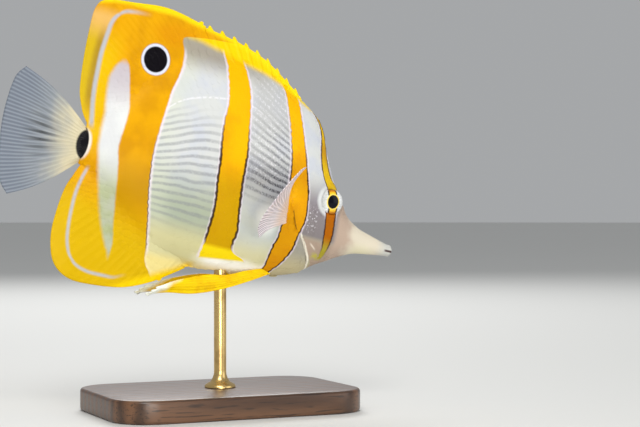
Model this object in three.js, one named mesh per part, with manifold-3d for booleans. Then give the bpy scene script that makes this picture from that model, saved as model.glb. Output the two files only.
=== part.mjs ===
// A life-size copperband butterflyfish, swimming head-down with its tail swung aside, carried on one rod
// above a flat wooden base. Millimetres, +Z up, the head towards +X, the origin under the middle of the model.
import * as THREE from "three";
import { mergeVertices } from "three/addons/utils/BufferGeometryUtils.js";
import Module from "manifold-3d";

const wasm = await Module();
wasm.setup();

// Driving dimensions. The fish is drawn in its own frame: x forward from the root of the tail fin,
// z up from the middle of the tail stalk, y to the fish's left.
const SNOUT_TIP_X = 125; // standard length of the fish
const PITCH = 13; // degrees that the head points down
const FISH_AT = { x: -46.5, z: 93.6 }; // the tail root above the middle of the base
const GAP = 0.3; // between pieces that meet
const GROWN = 0.42; // how far the body's outline grows, so that a slanting face clears by about GAP
const AROUND = 28; // faces round the body
const ALONG = 54; // faces along the body

// Sections of the body from the lips to the tail root: x, back, belly, half width.
const SECTIONS = [
  [SNOUT_TIP_X, -9.3, -10.9, 0.9],
  [124.1, -8, -12.2, 1.9],
  [122.2, -7.8, -12.4, 1.75],
  [115.5, -6.2, -13.3, 2.3],
  [109.5, -4.5, -14.4, 3.2],
  [104, -0.9, -16.8, 4.4],
  [99, 6.2, -19.6, 5.5],
  [95, 11.8, -21.8, 6.3],
  [91, 19.8, -24.6, 7.2],
  [87.5, 27.9, -26.6, 8],
  [82, 32.8, -28.4, 9],
  [74, 36.6, -30, 9.9],
  [62, 41, -31.5, 10],
  [48, 43.2, -31.8, 9.2],
  [34, 40, -28.4, 7.7],
  [20, 30, -20.2, 5.7],
  [9, 16.5, -11, 3.9],
  [2.5, 7.8, -6.9, 2.9],
  [0, 6.4, -6.1, 2.6],
];
const WIDEST = 0.44; // where a section is widest, as a share of its height
const BACK_EDGE = 1.5; // above 1 a section narrows to an edge, as the back does
const BELLY_EDGE = 1.2;

const EYE = { x: 94.4, z: 1.7, radius: 4.7, depth: 3.2, out: 4.5 };
const MOUTH = { corner: 120.2, z: -10.3, gape: 0.9 };

// Tail fin: how far the tail swings to the fish's left, and the stretch over which it bends.
const TAIL_SWING = 20;
const TAIL_BEND = { from: 6, length: 14 };

const BASE = { length: 92, width: 60, height: 8, corner: 14, edge: 1.2 };
const ROD = { radius: 2.2, x: 60, foot: 5.5, footHeight: 3.2 };

const wood = new THREE.MeshStandardMaterial({ color: 0x3a2416, roughness: 0.45, metalness: 0 });
const brass = new THREE.MeshStandardMaterial({ color: 0xc8a45c, roughness: 0.28, metalness: 1 });
const silver = new THREE.MeshStandardMaterial({ color: 0xdfe3df, roughness: 0.4, metalness: 0.1 });
const orange = new THREE.MeshStandardMaterial({ color: 0xf2a900, roughness: 0.45, metalness: 0 });
const clearFin = new THREE.MeshStandardMaterial({ color: 0xd5dcd2, roughness: 0.35, metalness: 0 });
const cream = new THREE.MeshStandardMaterial({ color: 0xe9dcc0, roughness: 0.45, metalness: 0 });
const eyeBlack = new THREE.MeshStandardMaterial({ color: 0x0a0a12, roughness: 0.1, metalness: 0 });

// A smooth curve through rows of numbers, at t from 0 to 1.
function spline(rows, t) {
  const last = rows.length - 1;
  const i = Math.min(last - 1, Math.floor(t * last));
  const f = t * last - i;
  const at = (k) => rows[Math.max(0, Math.min(last, k))];
  const [a, b, c, d] = [at(i - 1), at(i), at(i + 1), at(i + 2)];
  return b.map((_, k) => {
    const slopeIn = (c[k] - a[k]) / 2;
    const slopeOut = (d[k] - b[k]) / 2;
    const rise = c[k] - b[k];
    return b[k] + f * (slopeIn + f * (3 * rise - 2 * slopeIn - slopeOut + f * (slopeIn + slopeOut - 2 * rise)));
  });
}

// The same curve at even steps of its length, so that rays stand evenly along it.
function evenly(rows, t) {
  const steps = 120;
  const points = [...Array(steps + 1).keys()].map((i) => spline(rows, i / steps));
  const lengths = [0];
  for (let i = 1; i <= steps; i++) {
    lengths.push(lengths[i - 1] + Math.hypot(...points[i].map((v, k) => v - points[i - 1][k])));
  }
  const wanted = t * lengths[steps];
  let i = 1;
  while (i < steps && lengths[i] < wanted) i++;
  const f = (wanted - lengths[i - 1]) / (lengths[i] - lengths[i - 1]);
  return points[i - 1].map((v, k) => v + f * (points[i][k] - v));
}

function mix(a, b, t) {
  return a + (b - a) * t;
}

// A closed geometry as a solid for cutting, and the largest piece of a solid as a geometry.
function solid(geometry) {
  const bare = geometry.clone();
  bare.deleteAttribute("normal");
  bare.deleteAttribute("uv");
  const merged = mergeVertices(bare, 1e-4);
  return new wasm.Manifold(
    new wasm.Mesh({
      numProp: 3,
      vertProperties: new Float32Array(merged.attributes.position.array),
      triVerts: new Uint32Array(merged.index.array),
    }),
  );
}

function geometryOf(shape) {
  const largest = shape.decompose().sort((a, b) => b.volume() - a.volume())[0];
  const cut = largest.getMesh();
  const geometry = new THREE.BufferGeometry();
  geometry.setAttribute("position", new THREE.BufferAttribute(new Float32Array(cut.vertProperties), 3));
  geometry.setIndex(new THREE.BufferAttribute(new Uint32Array(cut.triVerts), 1));
  geometry.computeVertexNormals();
  return geometry;
}

// The tail swings aside: a point behind the bend's start turns about it, further the further back it lies.
function swing(p) {
  const behind = TAIL_BEND.from - p.x;
  if (behind <= 0) return p;
  const full = THREE.MathUtils.degToRad(TAIL_SWING);
  const share = Math.min(1, behind / TAIL_BEND.length);
  const angle = full * share;
  const radius = TAIL_BEND.length / full;
  const rest = Math.max(0, behind - TAIL_BEND.length);
  const x = TAIL_BEND.from - radius * Math.sin(angle) - rest * Math.cos(angle) + p.y * Math.sin(angle);
  const y = radius * (1 - Math.cos(angle)) + rest * Math.sin(angle) + p.y * Math.cos(angle);
  return new THREE.Vector3(x, y, p.z);
}

// The body from lips to tail root as one loft: a tube's rings become the sections.
function bodyShape(grow = 0) {
  const tube = new THREE.CylinderGeometry(1, 1, 1, AROUND, ALONG);
  const place = tube.attributes.position;
  for (let i = 0; i < place.count; i++) {
    const along = 0.5 - place.getY(i);
    const [x, back, belly, half] = spline(SECTIONS, along);
    const radius = Math.hypot(place.getX(i), place.getZ(i));
    const turn = Math.atan2(place.getZ(i), place.getX(i));
    const middle = mix(belly, back, WIDEST);
    const rise = Math.sin(turn);
    const reach = rise > 0 ? back + grow - middle : middle - belly + grow;
    const edge = rise > 0 ? BACK_EDGE : BELLY_EDGE;
    const across = Math.sign(Math.cos(turn)) * Math.abs(Math.cos(turn)) ** edge;
    const stretch = along === 0 ? grow : along === 1 ? -grow : 0;
    const p = swing(
      new THREE.Vector3(x + stretch, radius * (half + grow) * across, middle + radius * reach * rise),
    );
    place.setXYZ(i, p.x, p.y, p.z);
  }
  const shape = solid(tube);
  return shape.volume() < 0 ? solid(flipped(tube)) : shape;
}

function flipped(geometry) {
  const turned = geometry.clone();
  const index = turned.index.array;
  for (let i = 0; i < index.length; i += 3) [index[i], index[i + 1]] = [index[i + 1], index[i]];
  return turned;
}

// A straight prism through the fish: an outline in x and z, from one y to another.
function prism(outline, fromY, toY) {
  const shape = new THREE.Shape(outline.map(([x, z]) => new THREE.Vector2(x, z)));
  const block = new THREE.ExtrudeGeometry(shape, { depth: toY - fromY, bevelEnabled: false });
  block.rotateX(Math.PI / 2);
  block.translate(0, toY, 0);
  return solid(block);
}

// A fin: a sheet of cells across the rays and along them, thickened alike on both faces.
function finSheet(across, along, place, thickness) {
  const sheet = new THREE.PlaneGeometry(1, 1, across, along);
  const spots = sheet.attributes.position;
  const count = spots.count;
  const points = new Float32Array(count * 6);
  const step = 1e-3;
  for (let i = 0; i < count; i++) {
    const u = spots.getX(i) + 0.5;
    const v = 0.5 - spots.getY(i);
    const here = place(u, v);
    const du = place(Math.min(1, u + step), v).sub(place(Math.max(0, u - step), v));
    const dv = place(u, Math.min(1, v + step)).sub(place(u, Math.max(0, v - step)));
    const side = du.cross(dv).normalize().multiplyScalar(thickness(u, v) / 2);
    points.set(here.clone().add(side).toArray(), i * 3);
    points.set(here.clone().sub(side).toArray(), (count + i) * 3);
  }
  const front = Array.from(sheet.index.array);
  const faces = [...front];
  for (let i = 0; i < front.length; i += 3) {
    faces.push(front[i] + count, front[i + 2] + count, front[i + 1] + count);
  }
  const wide = across + 1;
  const rim = [];
  for (let i = 0; i < across; i++) rim.push(i);
  for (let j = 0; j < along; j++) rim.push(across + j * wide);
  for (let i = across; i > 0; i--) rim.push(along * wide + i);
  for (let j = along; j > 0; j--) rim.push(j * wide);
  rim.forEach((a, k) => {
    const b = rim[(k + 1) % rim.length];
    faces.push(a, b, a + count, b, b + count, a + count);
  });
  const closed = new THREE.BufferGeometry();
  closed.setAttribute("position", new THREE.BufferAttribute(points, 3));
  closed.setIndex(faces);
  const shape = solid(closed);
  return shape.volume() < 0 ? solid(flipped(closed)) : shape;
}

// Thickness of a fin with rays: each ray is a ridge raised in the membrane, thinner towards its tip.
function rayed(rays, root, tip, ridgeRoot, ridgeTip) {
  return (u, v) => {
    const crest = 0.5 - 0.5 * Math.cos(2 * Math.PI * u * rays);
    return mix(root, tip, v) + crest * mix(ridgeRoot, ridgeTip, v);
  };
}

const body = bodyShape();
const clearance = bodyShape(GROWN);

// Where the body is parted: the gill opening, the stalk of the tail, the root of the snout and the mouth.
const GILL_EDGE = [
  [84, 60],
  [83.4, 33],
  [79.5, 18],
  [76.6, 5],
  [76.6, -1],
  [78.2, -7],
  [82, -12],
  [87, -16.8],
  [92.4, -21.4],
  [93.4, -40],
];
const STALK_X = 7;
const SNOUT_X = 105;
const FAR = 60;

function behindGills(shift) {
  const edge = GILL_EDGE.map(([x, z]) => [x - shift, z]);
  return prism([[-FAR, 60], ...edge, [-FAR, -40]].reverse(), -FAR, FAR);
}

function between(fromX, toX, fromZ = -FAR, toZ = FAR) {
  const block = new THREE.BoxGeometry(toX - fromX, 2 * FAR, toZ - fromZ);
  block.translate((fromX + toX) / 2, 0, (fromZ + toZ) / 2);
  return solid(block);
}

// The mouth: a wedge cut between the jaws from the lips back to the corner, and a thin cut behind it.
function mouthCut() {
  const { corner, z, gape } = MOUTH;
  return prism(
    [
      [SNOUT_TIP_X + 3, z - gape / 2],
      [SNOUT_TIP_X + 3, z + gape / 2],
      [corner, z + GAP / 2],
      [corner - 6, z + GAP / 2],
      [corner - 6, z - GAP / 2],
      [corner, z - GAP / 2],
    ],
    -FAR,
    FAR,
  );
}

// An eyeball: a ball flattened across the head with a rounded window standing out of it.
function eyeball(side, grow = 0) {
  const ball = new THREE.SphereGeometry(1, 20, 12);
  ball.scale(EYE.radius + grow, EYE.depth + grow, EYE.radius + grow);
  ball.translate(EYE.x, side * EYE.out, EYE.z);
  return solid(ball);
}

// The bony plate over the gills, on one side of the head, standing a little proud of it.
const COVER = {
  outline: [
    [76.6, 4.5],
    [76.6, -1],
    [78.2, -7],
    [82, -12],
    [87, -16.8],
    [91, -20.2],
    [91.4, -15],
    [88.6, -7],
    [86.4, 0],
    [82.6, 5.4],
    [79, 6.4],
  ],
  proud: 0.35,
  thick: 1.6,
};

function gillCover(side, spread) {
  const [near, far] = side > 0 ? [1, FAR] : [-FAR, -1];
  const middle = COVER.outline.reduce((sum, [x, z]) => [sum[0] + x, sum[1] + z], [0, 0]);
  const [mx, mz] = middle.map((v) => v / COVER.outline.length);
  const outline = COVER.outline.map(([x, z]) => {
    const away = Math.hypot(x - mx, z - mz);
    return [x + ((x - mx) / away) * spread, z + ((z - mz) / away) * spread];
  });
  return prism(outline.reverse(), near, far);
}

function nostril(side, x, z, radius) {
  const pit = new THREE.CylinderGeometry(radius, radius, 8, 8);
  pit.translate(x, side * 7.2, z);
  return solid(pit);
}

const trunkSide = behindGills(GAP / 2);
const headSide = behindGills(-GAP / 2);
const front = body.subtract(headSide);
const coverBed = bodyShape(-COVER.thick);
const coverSkin = bodyShape(COVER.proud);

function headShape() {
  let head = front.subtract(between(SNOUT_X - GAP / 2, FAR * 4));
  for (const side of [-1, 1]) {
    head = head.subtract(eyeball(side, GAP));
    head = head.subtract(gillCover(side, GAP).subtract(bodyShape(-COVER.thick - GAP)));
    head = head.subtract(nostril(side, 101.2, 2.4, 0.55)).subtract(nostril(side, 102.4, 0.6, 0.4));
  }
  return head;
}

const snout = front.intersect(between(SNOUT_X + GAP / 2, MOUTH.corner - 5));
const jaws = front.intersect(between(MOUTH.corner - 5 + GAP, FAR * 4)).subtract(mouthCut());
const upperJaw = jaws.intersect(between(0, FAR * 4, MOUTH.z, FAR));
const lowerJaw = jaws.intersect(between(0, FAR * 4, -FAR, MOUTH.z));
const trunk = body.intersect(trunkSide).subtract(between(-FAR, STALK_X + GAP / 2));
const stalk = body.intersect(between(-FAR, STALK_X - GAP / 2));

// Dorsal fin. Its root follows the back a little way inside, and its edge runs over the spines' tips,
// back to the high rear corner and down to the tail stalk.
const SINK = 2.2;
const BACK_SPINES = { count: 9, from: 78.5, to: 43.5 };
const SPINY_EDGE = [
  [76.2, 37.2],
  [68.2, 42.3],
  [60, 46.8],
  [51, 49.6],
  [43, 51],
  [35.5, 51.8],
];
const SOFT_BACK_EDGE = [
  [34.4, 52],
  [26, 53.6],
  [18, 54.1],
  [8, 52.6],
  [-1.5, 51],
  [-4.9, 47.4],
  [-5.4, 39],
  [-5, 27],
  [-3.9, 17.5],
  [-1.6, 11.2],
];
const ANAL_EDGE = [
  [46.6, -33.4],
  [42, -36.6],
  [35, -41],
  [26, -44.6],
  [15, -46],
  [6, -45.6],
  [0, -41.4],
  [-2.8, -33],
  [-2.8, -24],
  [-1.6, -15.5],
  [0.4, -10.6],
];

function outlineAt(x, column) {
  let low = 0;
  let high = 1;
  for (let i = 0; i < 40; i++) {
    const t = (low + high) / 2;
    if (spline(SECTIONS, t)[0] > x) low = t;
    else high = t;
  }
  return spline(SECTIONS, low)[column];
}

function backLine(fromX, toX, t) {
  const x = mix(fromX, toX, t);
  return [x, outlineAt(x, 1) - SINK];
}

function bellyLine(fromX, toX, t) {
  const x = mix(fromX, toX, t);
  return [x, outlineAt(x, 2) + SINK];
}

function upright(root, edge, lean = 0) {
  return (u, v) => {
    const [rx, rz] = root(u);
    const [ex, ez] = edge(u);
    const bow = lean * v * (1 - v);
    return new THREE.Vector3(mix(rx, ex, v) - bow, 0, mix(rz, ez, v));
  };
}

function spinyFin() {
  const { count, from, to } = BACK_SPINES;
  const root = (u) => backLine(from, to, u);
  const edge = (u) => {
    const [x, z] = evenly(SPINY_EDGE, u);
    const tip = Math.max(0, Math.cos(2 * Math.PI * (u * count - 0.5))) ** 2;
    const lift = mix(-0.7, 1.5, tip);
    return [x - lift * 0.5, z + lift];
  };
  return finSheet(count * 4, 7, upright(root, edge), rayed(count, 0.85, 0.4, 0.95, 0.35));
}

const softBack = finSheet(
  54,
  7,
  upright((u) => backLine(42.6, 2.6, u), (u) => evenly(SOFT_BACK_EDGE, u), 1.5),
  rayed(27, 0.95, 0.42, 0.5, 0.22),
);
const anal = finSheet(
  46,
  7,
  upright((u) => bellyLine(49, 3, u), (u) => evenly(ANAL_EDGE, u), 1.2),
  rayed(23, 0.95, 0.42, 0.5, 0.22),
);

// Tail fin: a fan of rays from the stalk's end, swung aside with it.
const TAIL = { rays: 17, rootHalf: 5.4, sink: 1.6 };
const TAIL_EDGE = [
  [-23.5, 22.4],
  [-26.4, 18],
  [-27.6, 9],
  [-27.4, 0],
  [-26, -9],
  [-24, -17.5],
  [-20.4, -22.2],
];

function tailPlace(u, v) {
  const [ex, ez] = evenly(TAIL_EDGE, u);
  const rz = mix(TAIL.rootHalf, -TAIL.rootHalf, u);
  const flare = v + 0.12 * Math.sin(Math.PI * v);
  return swing(new THREE.Vector3(mix(TAIL.sink, ex, v), 0, mix(rz, ez, flare)));
}

const tail = finSheet(TAIL.rays * 2, 8, tailPlace, rayed(TAIL.rays, 1.3, 0.42, 0.6, 0.2));

// Breast fins, held out as brakes: the upper rays point straight out, the lower ones back along the flank.
const BREAST = {
  rays: 12,
  rootTop: [77.2, -2.2],
  rootLow: [78.6, -10.2],
  outTop: 80,
  outLow: 34,
  riseTop: 34,
  riseLow: -28,
  lengths: [20, 25, 27.5, 28.5, 27.5, 25, 21, 17],
};

function halfWidthAt(x, z) {
  const back = outlineAt(x, 1);
  const belly = outlineAt(x, 2);
  const middle = mix(belly, back, WIDEST);
  const share = z > middle ? (z - middle) / (back - middle) : (middle - z) / (middle - belly);
  const edge = z > middle ? BACK_EDGE : BELLY_EDGE;
  return outlineAt(x, 3) * Math.max(0, 1 - share * share) ** (edge / 2);
}

function breastPlace(side) {
  const rad = THREE.MathUtils.degToRad;
  return (u, v) => {
    const x = mix(BREAST.rootTop[0], BREAST.rootLow[0], u);
    const z = mix(BREAST.rootTop[1], BREAST.rootLow[1], u);
    const out = rad(mix(BREAST.outTop, BREAST.outLow, u));
    const rise = rad(mix(BREAST.riseTop, BREAST.riseLow, u));
    const reach = -1.5 + v * (spline(BREAST.lengths.map((n) => [n]), u)[0] + 1.5);
    const cup = 1.6 * Math.sin(Math.PI * v);
    const away = halfWidthAt(x, z) + reach * Math.cos(rise) * Math.sin(out);
    return new THREE.Vector3(
      x - 1.2 - reach * Math.cos(rise) * Math.cos(out) - cup,
      side * away,
      z + reach * Math.sin(rise),
    );
  };
}

function breastFin(side) {
  return finSheet(BREAST.rays * 2, 7, breastPlace(side), rayed(BREAST.rays, 0.6, 0.4, 0.45, 0.16));
}

// Belly fins: a strong spine along the lower edge and five soft rays, trailing back and a little apart.
const PELVIC_LOW = [
  [77.4, -28.6],
  [70, -32.8],
  [60, -37.8],
  [49.5, -41.6],
  [39.5, -43.2],
  [31.6, -45.8],
];
const PELVIC_HIGH = [
  [73.8, -27.6],
  [68, -29.6],
  [61, -32.6],
  [54, -34],
  [46, -37],
  [36.4, -41.6],
];

function pelvicPlace(side) {
  return (u, v) => {
    const low = spline(PELVIC_LOW, v);
    const high = spline(PELVIC_HIGH, v);
    const y = mix(3.4, 5.6, v) + 1.2 * Math.sin(Math.PI * u) * v;
    return new THREE.Vector3(mix(low[0], high[0], u), side * y, mix(low[1], high[1], u));
  };
}

function pelvicFin(side) {
  return finSheet(12, 12, pelvicPlace(side), rayed(6, 0.75, 0.45, 0.7, 0.3));
}

// The stand: a flat base with softened edges, and a rod with a turned foot that runs up into the belly.
function baseShape() {
  const { length, width, height, corner, edge } = BASE;
  const half = { x: length / 2 - corner, y: width / 2 - corner };
  const plan = new THREE.Shape();
  plan.absarc(half.x, half.y, corner - edge, 0, Math.PI / 2);
  plan.absarc(-half.x, half.y, corner - edge, Math.PI / 2, Math.PI);
  plan.absarc(-half.x, -half.y, corner - edge, Math.PI, 1.5 * Math.PI);
  plan.absarc(half.x, -half.y, corner - edge, 1.5 * Math.PI, 2 * Math.PI);
  const plate = new THREE.ExtrudeGeometry(plan, {
    depth: height - 2 * edge,
    bevelThickness: edge,
    bevelSize: edge,
    bevelSegments: 2,
    curveSegments: 6,
  });
  plate.translate(0, 0, edge);
  return plate;
}

const tilt = THREE.MathUtils.degToRad(PITCH);
const fish = new THREE.Group();
fish.rotation.y = tilt;
fish.position.set(FISH_AT.x, 0, FISH_AT.z);

// A fish point in the model's frame, for the rod that is upright whatever the fish's pitch.
function inModel(x, z) {
  return {
    x: FISH_AT.x + x * Math.cos(tilt) + z * Math.sin(tilt),
    z: FISH_AT.z - x * Math.sin(tilt) + z * Math.cos(tilt),
  };
}

const belly = inModel(ROD.x, outlineAt(ROD.x, 2));

function rodShape() {
  const foot = BASE.height + GAP;
  const top = belly.z + 4;
  const profile = [
    [0, foot],
    [ROD.foot, foot],
    [ROD.foot, foot + 1],
    [ROD.radius + 0.8, foot + ROD.footHeight],
    [ROD.radius, foot + ROD.footHeight + 1],
    [ROD.radius, top],
    [0, top],
  ];
  const turned = new THREE.LatheGeometry(
    profile.map(([r, z]) => new THREE.Vector2(r, z)),
    20,
  );
  turned.rotateX(Math.PI / 2);
  turned.translate(belly.x, 0, 0);
  const rod = solid(turned);
  return rod.volume() < 0 ? solid(flipped(turned)) : rod;
}

function toModel(shape) {
  const moved = geometryOf(shape);
  moved.rotateY(tilt);
  moved.translate(FISH_AT.x, 0, FISH_AT.z);
  return solid(moved);
}

const rodSolid = rodShape().subtract(toModel(clearance));

function add(parent, name, shape, material) {
  const geometry = shape.isBufferGeometry ? shape : geometryOf(shape);
  const mesh = new THREE.Mesh(geometry, material);
  mesh.name = name;
  parent.add(mesh);
  return mesh;
}

const headSolid = headShape();
const tailEnd = bodyShape(GROWN);

add(fish, "head", headSolid, silver);
add(fish, "snout", snout, cream);
add(fish, "upper_jaw", upperJaw, cream);
add(fish, "lower_jaw", lowerJaw, cream);
add(fish, "trunk", trunk, silver);
add(fish, "tail_stalk", stalk, silver);
add(fish, "dorsal_fin_spiny", spinyFin().subtract(clearance), orange);
add(fish, "dorsal_fin_soft", softBack.subtract(clearance), orange);
add(fish, "anal_fin", anal.subtract(clearance), orange);
add(fish, "tail_fin", tail.subtract(tailEnd), clearFin);
for (const [name, side] of [
  ["right", -1],
  ["left", 1],
]) {
  const cover = gillCover(side, 0).intersect(coverSkin).subtract(coverBed);
  add(fish, "gill_cover_" + name, cover, silver);
  add(fish, "eye_" + name, eyeball(side), eyeBlack);
  add(fish, "pectoral_fin_" + name, breastFin(side).subtract(clearance), clearFin);
  add(fish, "pelvic_fin_" + name, pelvicFin(side).subtract(clearance), orange);
}

const stand = new THREE.Group();
const plate = add(stand, "stand_base", baseShape(), wood);
plate.position.x = belly.x;
add(stand, "stand_rod", rodSolid, brass);

const model = new THREE.Group();
model.add(fish, stand);

export default model;
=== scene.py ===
import functools
import math
import random

import bmesh
import bpy
from mathutils import Matrix, Vector
from mathutils.bvhtree import BVHTree


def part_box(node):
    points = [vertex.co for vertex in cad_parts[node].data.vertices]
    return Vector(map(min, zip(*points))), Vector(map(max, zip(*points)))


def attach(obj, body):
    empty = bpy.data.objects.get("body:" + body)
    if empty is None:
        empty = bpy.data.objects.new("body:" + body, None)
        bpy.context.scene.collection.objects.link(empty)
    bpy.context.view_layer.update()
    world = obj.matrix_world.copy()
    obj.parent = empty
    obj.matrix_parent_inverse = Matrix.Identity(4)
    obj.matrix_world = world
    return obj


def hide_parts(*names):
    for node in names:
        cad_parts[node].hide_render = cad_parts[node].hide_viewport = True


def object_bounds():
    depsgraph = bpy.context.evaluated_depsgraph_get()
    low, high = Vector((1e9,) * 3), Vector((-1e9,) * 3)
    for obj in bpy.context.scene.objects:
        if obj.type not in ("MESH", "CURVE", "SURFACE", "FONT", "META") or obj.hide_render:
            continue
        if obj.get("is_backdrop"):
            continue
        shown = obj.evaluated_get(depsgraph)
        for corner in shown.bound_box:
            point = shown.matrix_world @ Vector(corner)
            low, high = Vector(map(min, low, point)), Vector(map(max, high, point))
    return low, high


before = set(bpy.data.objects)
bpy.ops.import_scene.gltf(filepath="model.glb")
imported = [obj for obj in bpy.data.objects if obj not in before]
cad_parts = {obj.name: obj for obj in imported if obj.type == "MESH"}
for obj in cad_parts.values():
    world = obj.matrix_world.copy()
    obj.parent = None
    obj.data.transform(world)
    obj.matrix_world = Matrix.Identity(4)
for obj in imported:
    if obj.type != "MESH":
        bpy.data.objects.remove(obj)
cad_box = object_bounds()

# The room: a pale floor that the stand rests on, soft boxes as in a studio, and the camera
# level with the fish, a little behind its right flank, as the photograph was taken.

CAMERA_AT = (-0.2033, -0.5304, 0.0698)
CAMERA_TURN = math.radians(-25)
CAMERA_LENS = 90
FLOOR_RADIUS = 12
FLOOR_COLOUR = (0.72, 0.72, 0.70, 1)
SOFT_BOXES = [
    # name, place, size in metres, watts, colour
    ("key", (-0.35, -0.7, 0.85), 0.5, 6.3, (1, 0.985, 0.95)),
    ("fill", (0.75, -0.7, 0.3), 0.7, 1.9, (0.94, 0.97, 1)),
    ("back", (0.25, 0.8, 0.7), 0.5, 5, (1, 1, 1)),
    ("reflector", (-0.1, -0.45, 0.012), 0.24, 1.5, (1, 1, 0.97)),
]


def lay_floor():
    bm = bmesh.new()
    bmesh.ops.create_circle(bm, cap_ends=True, segments=64, radius=FLOOR_RADIUS)
    floor = bpy.data.objects.new("floor", bpy.data.meshes.new("floor"))
    bm.to_mesh(floor.data)
    bm.free()
    bpy.context.scene.collection.objects.link(floor)
    paper = bpy.data.materials.new("pale paper")
    paper.use_nodes = True
    shader = paper.node_tree.nodes["Principled BSDF"]
    shader.inputs["Base Color"].default_value = FLOOR_COLOUR
    shader.inputs["Roughness"].default_value = 0.7
    floor.data.materials.append(paper)
    floor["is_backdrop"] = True


def light_room():
    world = bpy.data.worlds.new("studio")
    world.use_nodes = True
    world.node_tree.nodes["Background"].inputs["Color"].default_value = (0.86, 0.88, 0.9, 1)
    world.node_tree.nodes["Background"].inputs["Strength"].default_value = 0.44
    bpy.context.scene.world = world
    middle = Vector((0, 0, 0.08))
    for name, place, size, watts, colour in SOFT_BOXES:
        data = bpy.data.lights.new(name, "AREA")
        data.size = size
        data.energy = watts
        data.color = colour
        box = bpy.data.objects.new(name, data)
        box.location = place
        box.rotation_euler = (middle - Vector(place)).to_track_quat("-Z", "Y").to_euler()
        bpy.context.scene.collection.objects.link(box)


def place_camera():
    data = bpy.data.cameras.new("camera")
    data.lens = CAMERA_LENS
    data.sensor_width = 36
    data.clip_start = 0.01
    camera = bpy.data.objects.new("camera", data)
    camera.location = CAMERA_AT
    camera.rotation_euler = (math.radians(90), 0, CAMERA_TURN)
    bpy.context.scene.collection.objects.link(camera)
    bpy.context.scene.camera = camera


bpy.context.scene.view_settings.view_transform = "Standard"
lay_floor()
light_room()
place_camera()

# The skin: one closed hide over the whole body from the lips to the root of the tail fin. It is
# lofted through the body's sections, with the gill cover's edge, eye sockets, nostrils and the
# muscle at the breast fin raised or sunk in it, and the mouth cut open at the tip.

MM = 0.001
PITCH = math.radians(13)
FISH_AT = (-46.5, 93.6)
TAIL_SWING = math.radians(20)
TAIL_BEND_FROM = 6
TAIL_BEND_LENGTH = 14
SECTIONS = [
    # x, back, belly, half width, in millimetres from the tail root
    (125, -9.6, -10.6, 0.6),
    (124.6, -8.3, -11.8, 1.6),
    (123.8, -7.9, -12.3, 1.95),
    (122.2, -7.8, -12.4, 1.8),
    (115.5, -6.2, -13.3, 2.3),
    (109.5, -4.5, -14.4, 3.2),
    (104, -0.9, -16.8, 4.4),
    (99, 6.2, -19.6, 5.5),
    (95, 11.8, -21.8, 6.3),
    (91, 19.8, -24.6, 7.2),
    (87.5, 27.9, -26.6, 8),
    (82, 32.8, -28.4, 9),
    (74, 36.6, -30, 9.9),
    (62, 41, -31.5, 10),
    (48, 43.2, -31.8, 9.2),
    (34, 40, -28.4, 7.7),
    (20, 30, -20.2, 5.7),
    (9, 16.5, -11, 3.9),
    (2.5, 7.8, -6.9, 2.9),
    (0.3, 6.4, -6.1, 2.6),
]
WIDEST = 0.44
BACK_EDGE = 1.5
BELLY_EDGE = 1.2
SKIN_AROUND = 144
SKIN_ALONG = 285
EYE_X = 94.4
EYE_Z = 1.7
GILL_EDGE = [
    (-24, 93), (-21.6, 90.8), (-17.8, 88.4), (-15.4, 86.7), (-13.6, 85.1), (-11.8, 82.4), (-9.6, 81),
    (-7.1, 79.4), (-5.2, 78.4), (-1, 76.9), (4.5, 77), (6.4, 79),
]
CHEEK_EDGE = [(-18, 97), (-15.5, 92), (-12, 89.4), (-6, 88), (1, 87.4)]
NOSTRILS = [(101.2, 2.4, 0.55), (102.4, 0.6, 0.4)]
MOUTH_CORNER = 121.4
MOUTH_Z = -10.4
MOUTH_GAPE = 1.25
BREAST_ROOT = (78.2, -6.2)


def mix(a, b, t):
    return a + (b - a) * t


def ease(t):
    t = max(0, min(1, t))
    return t * t * (3 - 2 * t)


def spline(rows, t):
    last = len(rows) - 1
    i = min(last - 1, int(t * last))
    f = t * last - i
    before, here, there, after = (rows[max(0, min(last, k))] for k in range(i - 1, i + 3))
    out = []
    for p, q, r, s in zip(before, here, there, after):
        slope_in, slope_out, rise = (r - p) / 2, (s - q) / 2, r - q
        bend = 3 * rise - 2 * slope_in - slope_out + f * (slope_in + slope_out - 2 * rise)
        out.append(q + f * (slope_in + f * bend))
    return out


@functools.lru_cache(maxsize=None)
def section(t):
    return spline(SECTIONS, t)


def stepped(rows, at):
    """The straight-line value of (at, value) rows at a height."""
    for (a, p), (b, q) in zip(rows, rows[1:]):
        if at <= b:
            return mix(p, q, max(0, (at - a) / (b - a)))
    return rows[-1][1]


def swung(x, y, z):
    """A point of the straight fish where the bent tail carries it."""
    behind = TAIL_BEND_FROM - x
    if behind <= 0:
        return x, y, z
    angle = TAIL_SWING * min(1, behind / TAIL_BEND_LENGTH)
    radius = TAIL_BEND_LENGTH / TAIL_SWING
    rest = max(0, behind - TAIL_BEND_LENGTH)
    x = TAIL_BEND_FROM - radius * math.sin(angle) - rest * math.cos(angle) + y * math.sin(angle)
    return x, radius * (1 - math.cos(angle)) + rest * math.sin(angle) + y * math.cos(angle), z


def in_frame(x, y, z):
    """A point of the fish, in millimetres, as a place in the model, in metres."""
    return Vector((
        FISH_AT[0] + x * math.cos(PITCH) + z * math.sin(PITCH),
        y,
        FISH_AT[1] - x * math.sin(PITCH) + z * math.cos(PITCH),
    )) * MM


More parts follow.
